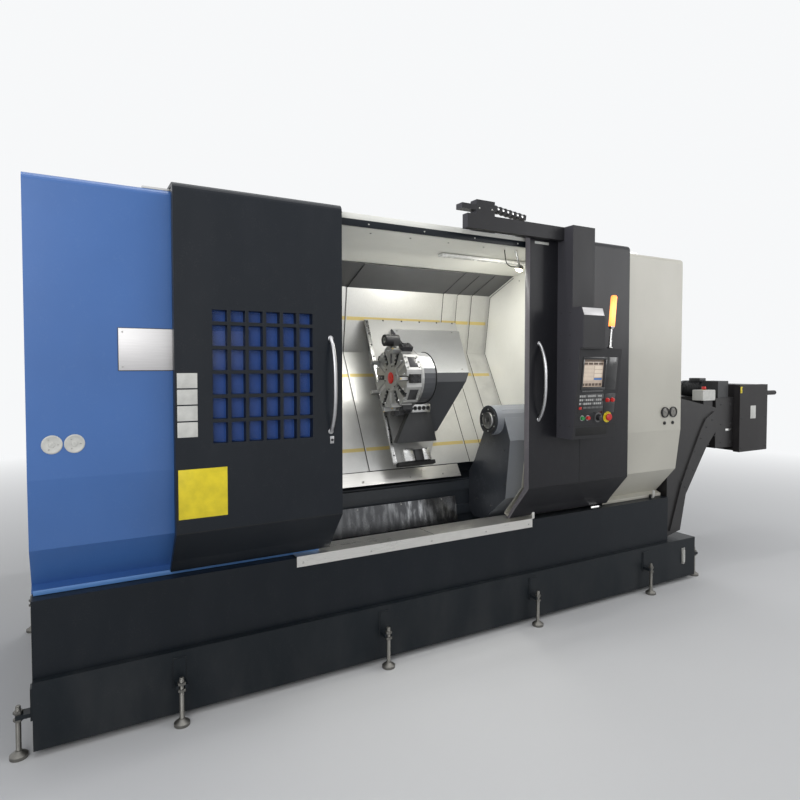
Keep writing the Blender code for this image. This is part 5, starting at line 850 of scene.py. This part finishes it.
def turned_steel(name, colour, axis_y, axis_z, roughness=0.2, pitch=1400.0, blackened=10.0):
    """Steel turned on a lathe: fine rings round an axis along the machine, and oily smears.
    What stands out further than a radius is blackened, except the bright tool shanks in front."""
    material, shader, place = begin(name)
    centre = at(0, axis_y, axis_z)
    flat = place.node("Mapping", {}, {"Vector": place, "Scale": (0, 1, 1)})
    radius = place.node("VectorMath", {"operation": "DISTANCE"}, {0: flat, 1: (0, centre.y, centre.z)}, out=1)
    rings = (radius * pitch).sum("SINE", radius * pitch)
    oil = grain(place, 16.0, 4)
    tint = blend(band(rings, -1, 1), [c * 0.9 for c in colour], colour)
    burnt_on = band(radius, blackened, blackened + 0.0006) * band(along(place, 0), at(1.8, 0, 0).x,
        at(1.8005, 0, 0).x)
    tint = blend(band(oil, 0.45, 0.7) * 0.35, tint, [c * 0.62 for c in colour])
    feed(shader, base_color=blend(burnt_on, tint, (0.02, 0.02, 0.022)), metallic=1.0 - band(oil, 0.5, 0.8) * 0.15
        - burnt_on * 0.7, roughness=roughness + band(oil, 0.3, 0.7) * 0.14)
    relief(shader, rings, 0.05, 0.0002)
    return material


chuck_steel = turned_steel("chuck_steel", (0.55, 0.55, 0.54), *SPINDLE)
dress(chuck_steel, "chuck_body", edge=0.0012)
dress(ground_steel, "chuck_jaw_1", "chuck_jaw_2", "chuck_jaw_3", edge=0.001)
CHUCK = moved(at(0, *SPINDLE))
fit(repeat(turned("chuck_bolts", [(0, 10.5), (2.8, 10.5), (3.5, 9.6), (3.5, 5.6), (0.8, 5.4)], sides=24,
    foot=(1.0949, 0, 0.112), axis=(1, 0, 0)), [CHUCK @ spun(60 + 120 * i + turn, "X") for i in range(3)
    for turn in (-13, 13)]), black, "spindle")
fit(ring("chuck_groove_band", 160, 160.6, 6, at(1.03, *SPINDLE), (1, 0, 0), 72, 0.2), black, "spindle")
for i in range(3):
    turn = CHUCK @ spun(120 * i, "X")
    fit(repeat(turned("jaw_%d_screws" % (i + 1), [(0, 8.5), (6, 8.5), (7.5, 7.8), (7.5, 4.5), (3, 4.3)], sides=20,
        foot=(1.1199, 0, 0.111), axis=(1, 0, 0)), [turn, turn @ moved((0, 0, 0.023))]), black, "jaw_%d" % (i + 1))
    tooth = block(HERE, "jaw_%d_teeth" % (i + 1), (1.0955, 0, 0.0432), (1.1447, 0.002, 0.0454), 0.0005, 1)
    fit(repeat(tooth, [turn @ moved((0, -0.0195 + 0.0046 * k, 0)) for k in range(9)]), ground_steel,
        "jaw_%d" % (i + 1))

# Cross slide
# Its base casting and bright cover plate lean back with the bed. A guide strip runs up the plate's
# left edge under a row of screws; gibs and an end stop of the way cover close the foot.
slide_steel = brushed("slide_plate_steel", (0.4, 0.4, 0.39), 0.48, (1, 1, 0.03), metal=0.55, stain=0.35)
dress(slide_steel, "slide_plate", edge=0.0008)
SLIDE = moved(at(0, 0.53, 0.955)) @ Matrix(((1, 0, 0), (0, 0.40674, -0.91355), (0, 0.91355, 0.40674))).to_4x4()
SLIDE_OUT = SLIDE.to_3x3() @ Vector((0, 0, 1))
fit(block(SLIDE, "slide_guide_strip", (1.8425, 0.01, -0.0002), (1.866, 0.972, 0.0042)), ground_steel, "carriage")
fit(repeat(turned("slide_plate_screws", [(0, 5.8), (1.6, 5.7), (3, 4.4), (3.2, 3), (1.4, 2.8)], sides=16, angle=50,
    axis=SLIDE_OUT), [moved(SLIDE @ Vector(spot)) for spot in [(1.8545, 0.055 + 0.082 * i, 0.0041)
    for i in range(12)] + grid((1.98, 2.12, 2.26, 2.4, 2.53), (0.9745,), (0,))]), black, "carriage")
fit(block(SLIDE, "slide_gibs_left", (1.905, 0.004, -0.001), (1.975, 0.082, 0.04), 0.002), ground_steel, "carriage")
fit(block(SLIDE, "slide_gibs_right", (2.035, 0.004, -0.001), (2.085, 0.078, 0.046), 0.002), ground_steel,
    "carriage")
fit(block(SLIDE, "slide_wiper", (1.86, -0.0185, -0.006), (2.12, 0.004, 0.03), 0.002), rubber, "carriage")
fit(block(SLIDE, "slide_drive_block", (1.978, 0.002, -0.001), (2.032, 0.072, 0.048), 0.003), black, "carriage")
fit(tube("slide_oil_pipe", [SLIDE @ Vector(p) for p in ((2.1, 0.006, 0.004), (2.1, 0.05, 0.012),
    (2.088, 0.07, 0.02), (2.06, 0.075, 0.03))], 0.0035), polished, "carriage")

# Turret housing
# A wedge of brushed stainless sheet round the indexing motor, with painted shade on its underside. Below the neck
# sits the coolant block with four ports, which feeds the station that is in use.
HUB = (0.48017, 1.47492)
# Faces of the housing that do not look upward are painted dark: painted shade.
housing_sheet = brushed("turret_housing_sheet", (0.6, 0.61, 0.62), 0.3, (0.25, 1, 1), metal=0.8, stain=0.35,
    painted_facing_light=(2, 0.25, 0.42, (0.06, 0.063, 0.07)))
dress(housing_sheet, "turret_housing", edge=0.0012)
fit(cut("coolant_block", (1.932, 0.462, 1.268), (2.06, 0.56, 1.318), 0.004), ground_steel, "cross_slide")
APRON = [(1.925, 1.269), (1.838, 1.088), (2.118, 1.088), (2.066, 1.269)]
fit(plate("turret_apron", APRON, 0.043, moved(at(0, 0.527, 0)) @ FACE_ON, 0.002), motor_black, "cross_slide")
fit(repeat(ring("coolant_ports", 7, 12.8, 4, (0, 0, 0), FRONT, 28, 0.8), [at(1.95 + 0.03 * i, 0.4622, 1.2935)
    for i in range(4)]), black, "cross_slide")
fit(repeat(turned("coolant_bores", [(0, 6.8), (0.8, 6.8), (1, 5)], sides=24, axis=FRONT), [at(1.95 + 0.03 * i,
    0.462, 1.2935) for i in range(4)]), rubber, "cross_slide")
fit(turned("housing_lifting_eye", [(0, 8.5), (1.2, 8.5), (1.6, 7.8), (1.6, 4.8), (0.6, 4.6)],
    at(2.075, 0.4455, 1.4795), (0, -0.9857, 0.1686), 24), rubber, "cross_slide")
fit(ring("turret_neck_seal", 150.2, 154, 6, at(2.0135, *HUB), (1, 0, 0), 64, 0.8), rubber, "cross_slide")
screws("housing_top_screws", [(x, 0.449 + 0.4313 * s, 1.5067 + 0.2856 * s) for x, s in ((2.045, 0.06),
    (2.045, 0.94), (2.3, 0.06), (2.48, 0.94), (2.045, 0.5))], (0, -0.5521, 0.8338), 0.0055, "cross_slide", sides=16)

# Turret
# A twelve-station indexing disc, turned and milled from steel. Every station has a slot with a wedge
# clamp, screws and a coolant nozzle on its flat; turning tools and a boring bar holder are mounted.
disc_steel = turned_steel("turret_steel", (0.46, 0.46, 0.45), *HUB, 0.31, blackened=0.1925)
dress(disc_steel, "turret_disc", edge=0.001)
dress(black, "boring_bar_holder", edge=0.001)
TURRET = moved(at(1.797, *HUB))
spokes = [TURRET @ spun(30 * i, "X") for i in range(12)]
TOOLS, CLAMPED, PLATED = (1, 3, 5, 6, 8, 10), (1, 3, 4, 5, 7, 9, 11), (2, 4, 7, 9, 11)
burnt = moulded("oiled_black_steel", (0.018, 0.018, 0.02), 0.3, 0.6, 0.03)
fit(repeat(block(HERE, "wedge_clamps", (-0.0045, -0.0095, 0.092), (0.0118, 0.0095, 0.148), 0.0012),
    [spokes[i] for i in CLAMPED]), burnt, "turret")
fit(repeat(block(HERE, "slot_inserts", (0.004, -0.0136, 0.0865), (0.0118, 0.0136, 0.1835), 0.0008),
    [spokes[i] for i in (2, 6, 8, 10)]), ground_steel, "turret")
# Thin dark sheets in the open slots stand for the shade in the slot pockets: painted shade.
fit(repeat(block(HERE, "slot_shade_sheets", (0.0095, -0.0139, 0.0855), (0.0119, 0.0139, 0.1845), 0.0004),
    [spokes[i] for i in (0, 1, 3, 4, 5, 7, 9, 11)]), burnt, "turret")
fit(repeat(turned("wedge_screws", [(0, 5.5), (3, 5.5), (3.8, 4.8), (3.8, 2.8), (1.6, 2.6)], sides=16, axis=LEFT),
    [spokes[i] @ moved((-0.0042, 0, r)) for i in CLAMPED for r in (0.107, 0.133)]), zinc, "turret")
fit(repeat(block(HERE, "rim_plates", (0.026, -0.0335, 0.1848), (0.08, 0.0335, 0.1868), 0.0006),
    [spokes[i] for i in PLATED]), burnt, "turret")
fit(repeat(block(HERE, "rim_grooves", (0.0985, -0.048, 0.1846), (0.0998, 0.048, 0.1856), 0.0003), spokes), burnt,
    "turret")
rim_screw = turned("rim_screws", [(0, 6.2), (4.2, 6.2), (5.2, 5.4), (5.2, 3.2), (2, 3)], sides=16)
RIM_SCREWS = [(x, y) for x in (0.014, 0.09) for y in (-0.034, 0, 0.034)]
fit(repeat(rim_screw, [spokes[i] @ moved((x, y, 0.1848)) for i in PLATED for x, y in RIM_SCREWS]), zinc, "turret")
fit(repeat(turned("tool_block_screws", [(0, 6.5), (4.5, 6.5), (5.5, 5.6), (5.5, 3.4), (2, 3.2)], sides=16),
    [spokes[i] @ moved((x, y, 0.2188)) for i in TOOLS for x in (0.024, 0.058) for y in (-0.014, 0.014)]), burnt,
    "turret")
fit(repeat(turned("coolant_nozzles", [(0, 6), (5, 6), (6.5, 4.8), (11, 4.4), (11.5, 2.2), (8, 2)], sides=16,
    axis=(-1, 0, 0.25)), [spokes[i] @ moved((-0.0004, 0.0235, 0.158)) for i in range(12)]), polished, "turret")
carbide = brushed("coated_carbide", (0.62, 0.47, 0.16), 0.3, (1, 1, 1), metal=0.9, stain=0.1)
fit(repeat(turned("cutting_inserts", [(0, 7.2), (0.5, 7.6), (4, 7.6), (4.4, 7), (4.4, 2.2), (3, 2)], sides=3,
    angle=20, foot=(-0.0442, 0, 0.1936)), [spokes[i] for i in TOOLS]), carbide, "turret")
fit(turned("disc_boss", [(-0.4, 78), (2.2, 78), (3.2, 76.8), (3.2, 60), (2.2, 59.2), (2.2, 34.5)], sides=64,
    foot=TURRET.translation, axis=LEFT), disc_steel, "turret")
fit(turned("disc_cap", [(1.8, 33.5), (4.2, 33.5), (5.2, 32.2), (5.6, 25), (5.8, 12)], sides=48,
    foot=TURRET.translation, axis=LEFT), red_plastic, "turret")
fit(repeat(turned("disc_boss_screws", [(0, 4.8), (1.8, 4.6), (2.6, 3.6), (2.8, 2.6), (1.2, 2.4)], sides=14,
    angle=50, foot=(-0.0031, 0, 0.069), axis=LEFT), [TURRET @ spun(15 + 60 * i, "X") for i in range(6)]), burnt,
    "turret")
fit(repeat(turned("bar_holder_screws", [(0, 4.5), (2.2, 4.5), (2.6, 4), (2.6, 2.4), (0.6, 2.2)], sides=14),
    [TURRET @ moved((x, 0, 0.2532)) for x in (-0.03, -0.01, 0.01, 0.03)]), zinc, "turret")
fit(ring("bar_holder_sleeve", 13, 16.8, 88, at(1.753, 0.48017, 1.69422), (1, 0, 0), 32, 0.8), ground_steel,
    "turret")

# Tailstock
# A blue-grey painted casting with a machined nose round the quill. Screws hold the nose's wiper ring,
# and clamping nuts stand at its foot.
# Faces of the tailstock that look to the left are painted darker: partly painted shade, partly the end face's own
# darker tone.
tail_paint = enamel("tailstock_enamel", (0.225, 0.24, 0.27), (0.3, 0.32, 0.34), 0.42, peel=1.4, dust=0.05,
    painted_facing_light=(0, -0.75, -0.45, (0.03, 0.034, 0.042)))
dress(tail_paint, "tailstock_body", edge=0.003)
dress(ground_steel, "quill", edge=0.001)
fit(ring("nose_wiper_ring", 53.5, 80, 4.2, at(2.4216, *SPINDLE), LEFT, 64, 1), motor_black, "tailstock")
screws("nose_screws", bolt_circle(2.4174, SPINDLE, 0.0672, 6, 0.5), LEFT, 0.0048, "tailstock", sides=14)
screws("tailstock_cover_screws", [(2.4715, y, z) for y, z in ((0.262, 0.82), (0.4, 0.66), (0.55, 0.68),
    (0.275, 1.03))], LEFT, 0.007, "tailstock", motor_black, 16)

# Chip conveyor
# A hinged steel belt of short plates runs in the trough and climbs inside the welded elbow.
# Bolted flanges join its sheets, and a blank plate and hinges sit on the head's guard.
conveyor_black = enamel("conveyor_enamel", (0.015, 0.014, 0.0145), (0.1, 0.1, 0.1), 0.42, floor_dirt=0.1, dust=0.08,
    gloss=0.4, coat=0.05)
dress(conveyor_black, "conveyor_body", edge=0.0012)
dress(motor_black, "gear_motor", edge=0.0015)
belt_steel = brushed("hinged_belt_steel", (0.26, 0.26, 0.26), 0.34, (1, 0.06, 1), stain=0.6)
dress(belt_steel, "conveyor_belt")
fit(repeat(turned("belt_hinges", [(0, 4.5), (1, 5.5), (409, 5.5), (410, 4.5)], sides=8, angle=30, axis=(0, 1, 0)),
    [at(1.035 + 0.0475 * i, 0.195, 0.3565) for i in range(59) if i % 4 != 0]), belt_steel)
chute_black = enamel("chute_enamel", (0.018, 0.0165, 0.017), (0.12, 0.12, 0.12), 0.46, dust=0.06, gloss=0.25,
    coat=0.0)
dress(chute_black, "chip_chute", edge=0.002)
RIB_LINE = [(3.985, 0.567), (4.068, 0.66), (4.16, 0.78), (4.255, 0.883), (4.335, 0.955), (4.405, 1.018)]
screws("elbow_bolts", [(x, 0.168, z) for x, z in RIB_LINE], FRONT, 0.0065, finish=motor_black)
screws("elbow_upper_bolts", [(x, 0.168, z) for x, z in ((4.03, 0.7), (4.1, 0.8), (4.175, 0.915), (4.245, 1.01),
    (4.305, 1.09), (4.375, 1.14))], FRONT, 0.0065, finish=motor_black)
fit(cut("head_name_plate", (4.8, 0.1286, 1.135), (4.87, 0.13, 1.235), 0.0005), pale_plastic)
fit(cut("yellow_tie", (4.664, 0.1272, 1.335), (4.686, 0.1302, 1.385), 0.001), yellow)
fit(cut("head_hinges", (4.556, 0.1758, 1.045), (4.64, 0.1802, 1.062), 0.0012), ground_steel)
screws("guard_screws", grid((4.685, 5.005), (0.1297,), (0.91, 1.14, 1.37)), FRONT, 0.006, finish=motor_black)
screws("head_screws", grid((4.5, 4.62), (0.18,), (0.96, 1.1, 1.25)), FRONT, 0.006, finish=motor_black)
fit(repeat(ring("gear_motor_fins", 59.8, 64, 5, (0, 0, 0), (0, 1, 0), 48, 0.8), [at(4.52, 0.35 + 0.014 * i, 1.365)
    for i in range(11)]), motor_black)
fit(turned("fan_cover", [(0, 60.5), (2, 63.2), (20, 63.2), (28, 60), (29.5, 50), (29.5, 12)],
    at(4.52, 0.4955, 1.365), (0, 1, 0), 40), motor_black)
fit(cut("terminal_box", (4.48, 0.345, 1.418), (4.56, 0.44, 1.45), 0.005), motor_black)
dress(pale_plastic, "conveyor_control_box")
dress(red_plastic, "conveyor_stop_button")
fit(ring("box_stop_collar", 9.5, 21.5, 0.7, at(4.355, 0.225, 1.3649), (0, 0, 1), 32, 0.2), yellow)
fit(tube("box_cable", [at(4.428, 0.25, 1.3), at(4.444, 0.262, 1.3), at(4.462, 0.275, 1.316), at(4.478, 0.29, 1.33)],
    0.0045), rubber)
screws("box_screws", grid((4.29, 4.42), (0.18,), (1.293, 1.357)), FRONT, 0.0035)

# Rear panel
# Warm white sheet panels on the back, joined by cover strips under screws, with pressed vents
# behind the spindle motor and the feed motor.
dress(warm_white, "rear_panel")
BACK = (0, 1, 0)


def louvre(name, width, spots, finish, body="machine", turn=0.0):
    """Pressed vent blades that lean outwards, in rows."""
    blade = plate(name, [(-0.0003, 0), (0.008, -0.006), (0.008, -0.0072), (-0.0003, -0.0022)], width,
        Matrix.Rotation(turn, 4, "Z") @ SIDE, 0.0003, 1)
    return fit(repeat(blade, [at(*spot) for spot in spots]), finish, body)


louvre("rear_vents", 0.36, [(x, 1.5527, 2.13 - 0.02 * i) for x in (0.22, 3.4) for i in range(10)], warm_white)
strip = cut("rear_cover_strips", (0.9675, 1.5525, 0.64), (1.0075, 1.5548, 2.25), 0.0008)
fit(repeat(strip, [Vector((x, 0, 0)) for x in (0, 0.94, 2.33)]), warm_white)
screws("rear_screws", grid((0.9875, 1.9275, 3.3175), (1.5548,), (0.7, 1.06, 1.42, 1.78, 2.14)), BACK, 0.0065)
screws("rear_edge_screws", grid((0.03, 3.822), (1.5527,), (0.7, 1.06, 1.42, 1.78, 2.14)), BACK, 0.0065)
fit(cut("left_end_hatch", (-0.0022, 0.42, 0.82), (0.0003, 1.34, 2.05), 0.001), blue)
screws("hatch_screws", grid((-0.0022,), (0.45, 0.88, 1.31), (0.85, 2.02)) + grid((-0.0022,), (0.45, 1.31),
    (1.24, 1.63)), LEFT, 0.0065)
louvre("hatch_vents", 0.34, [(-0.0021, 0.71, 1.86 - 0.02 * i) for i in range(8)], blue, turn=math.pi / 2)
fit(cut("right_end_hatch", (3.8517, 0.66, 1.4), (3.8542, 1.34, 2.05), 0.001), warm_white)
screws("right_hatch_screws", grid((3.8542,), (0.69, 1.0, 1.31), (1.43, 2.02)), (1, 0, 0), 0.0065)

# Electrical cabinet
# A steel box on the back with a door hung on three pin hinges, a swing handle, filtered vents and
# a red rotary main switch on a yellow plate.
dress(warm_white, "cabinet_body", "cabinet_door", edge=0.001)
CABINET_FACE = 1.8708
fit(repeat(turned("cabinet_hinges", [(0, 4.5), (2, 6.2), (26, 6.2), (26.5, 5), (27.5, 5), (28, 6.2), (78, 6.2),
    (80, 4.5)], sides=20), [at(3.2003, 1.8531, z) for z in (0.86, 1.38, 1.9)]), zinc)
fit(cut("cabinet_handle_plate", (1.985, CABINET_FACE, 1.27), (2.015, 1.874, 1.4), 0.0014), black, "cabinet_door")
fit(cut("cabinet_handle", (1.9895, 1.8738, 1.276), (2.0105, 1.885, 1.386), 0.0045), black, "cabinet_door")
for name, low in (("upper_filter", 1.93), ("lower_filter", 0.8)):
    fit(cut(name + "_frame", (2.34, CABINET_FACE, low), (2.61, 1.875, low + 0.145), 0.0018), pale_plastic,
        "cabinet_door")
    fit(cut(name + "_mat", (2.353, 1.8744, low + 0.013), (2.597, 1.8753, low + 0.132), 0.0003), rubber,
        "cabinet_door")
    blade = plate(name, [(-0.0003, 0), (0.0065, -0.006), (0.0065, -0.0085), (-0.0003, -0.0045)], 0.25, SIDE, 0.0004,
        1)
    fit(repeat(blade, [at(2.35, 1.875, low + 0.126 - 0.0172 * i) for i in range(7)]), pale_plastic, "cabinet_door")
fit(cut("switch_plate_yellow", (2.15, CABINET_FACE, 1.37), (2.25, 1.8716, 1.47), 0.0003), yellow, "cabinet_door")
switch = turned("main_switch_knob", [(0.6, 28.5), (1.6, 30), (6, 30), (8, 27.5), (8.4, 15)], at(2.2, 1.8711, 1.42),
    BACK, 40)
pick(cut("switch_grip", (2.1915, 1.879, 1.3925), (2.2085, 1.891, 1.4475), 0.0032, 3), switch)
bpy.ops.object.join()
fit(switch, red_plastic, "main_switch", ["main_switch"])
fit(repeat(turned("cabinet_glands", [(0, 16.5), (4, 16.5), (5, 14.5), (20, 14), (22, 10.5)], sides=6, angle=20,
    axis=(0, 0, -1)), [at(x, 1.7, 0.7202) for x in (2.1, 2.18, 2.26, 2.34, 2.42)]), black)

# Floor, lamps and surroundings
# A plain pale floor under soft studio lamps; the surroundings are pale wherever they are looked at.
bpy.ops.object.select_all(action="DESELECT")
bpy.ops.mesh.primitive_plane_add(size=60, location=(0, 0, -0.0005))
floor = bpy.context.active_object
floor.name = "pale_floor"
pale, pale_shader, pale_place = begin("pale_floor", specular_ior_level=0.25)
wear = grain(pale_place, 0.7, 4)
feed(pale_shader, base_color=blend(wear, (0.6, 0.605, 0.61), (0.66, 0.665, 0.67)), roughness=0.5 + wear * 0.2)
away = pale_place.node("VectorMath", {"operation": "LENGTH"}, {0: pale_place}, out=1)
haze = away.node("Emission", {}, {"Color": (0.93, 0.94, 0.95, 1)})
merged = away.node("MixShader", {}, {0: band(away, 3.2, 9.0), 1: Wire(pale.node_tree, pale_shader.outputs[0]),
    2: haze})
pale.node_tree.links.new(merged.socket, pale.node_tree.nodes["Material Output"].inputs["Surface"])
floor.data.materials.append(pale)


def lamp(name, spot, aim, size, power, colour=(1, 1, 1)):
    light = bpy.data.lights.new(name, "AREA")
    light.shape = "RECTANGLE"
    light.size, light.size_y = size
    light.energy = power
    light.color = colour
    holder = bpy.data.objects.new(name, light)
    holder.location = spot
    holder.rotation_euler = (Vector(aim) - Vector(spot)).to_track_quat("-Z", "Y").to_euler()
    bpy.context.scene.collection.objects.link(holder)


lamp("overhead", (-0.5, -1.5, 5.4), (0, -0.4, 0.6), (6.5, 3.5), 100)
lamp("overhead_tubes", (-0.2, -0.7, 5.2), (-0.2, -0.7, 0), (5.0, 0.1), 34)
lamp("front_left", (-4.2, -5.2, 3.2), (-0.4, -0.4, 1.2), (3.0, 3.0), 120)
lamp("front_right", (4.6, -4.2, 3.0), (0.6, -0.4, 1.2), (2.5, 2.5), 72)
lamp("rear", (1.5, 5.5, 3.6), (0, 0.5, 1.0), (4.0, 2.5), 80)
lamp("work_area_tube", at(2.02, 0.34, 2.178), at(2.02, 0.46, 1.2), (1.1, 0.05), 5.4, (1.0, 0.99, 0.94))
lamp("work_spot", at(2.452, 0.14, 2.085), at(2.42, 0.75, 1.25), (0.04, 0.04), 3.8, (1.0, 0.98, 0.92))

world = bpy.data.worlds.new("studio")
world.use_nodes = True
bpy.context.scene.world = world
tree = world.node_tree
rays = tree.nodes.new("ShaderNodeLightPath").outputs
looked_at = Wire(tree, rays["Is Camera Ray"]) + Wire(tree, rays["Is Glossy Ray"]) + Wire(tree,
    rays["Is Transmission Ray"])
plain = looked_at.node("Background", {}, {"Color": (0.72, 0.74, 0.78, 1), "Strength": 0.34})
seen = looked_at.node("Background", {}, {"Color": (0.93, 0.94, 0.95, 1), "Strength": 1.0})
choice = looked_at.node("MixShader", {}, {0: looked_at, 1: plain, 2: seen})
tree.links.new(choice.socket, tree.nodes["World Output"].inputs["Surface"])
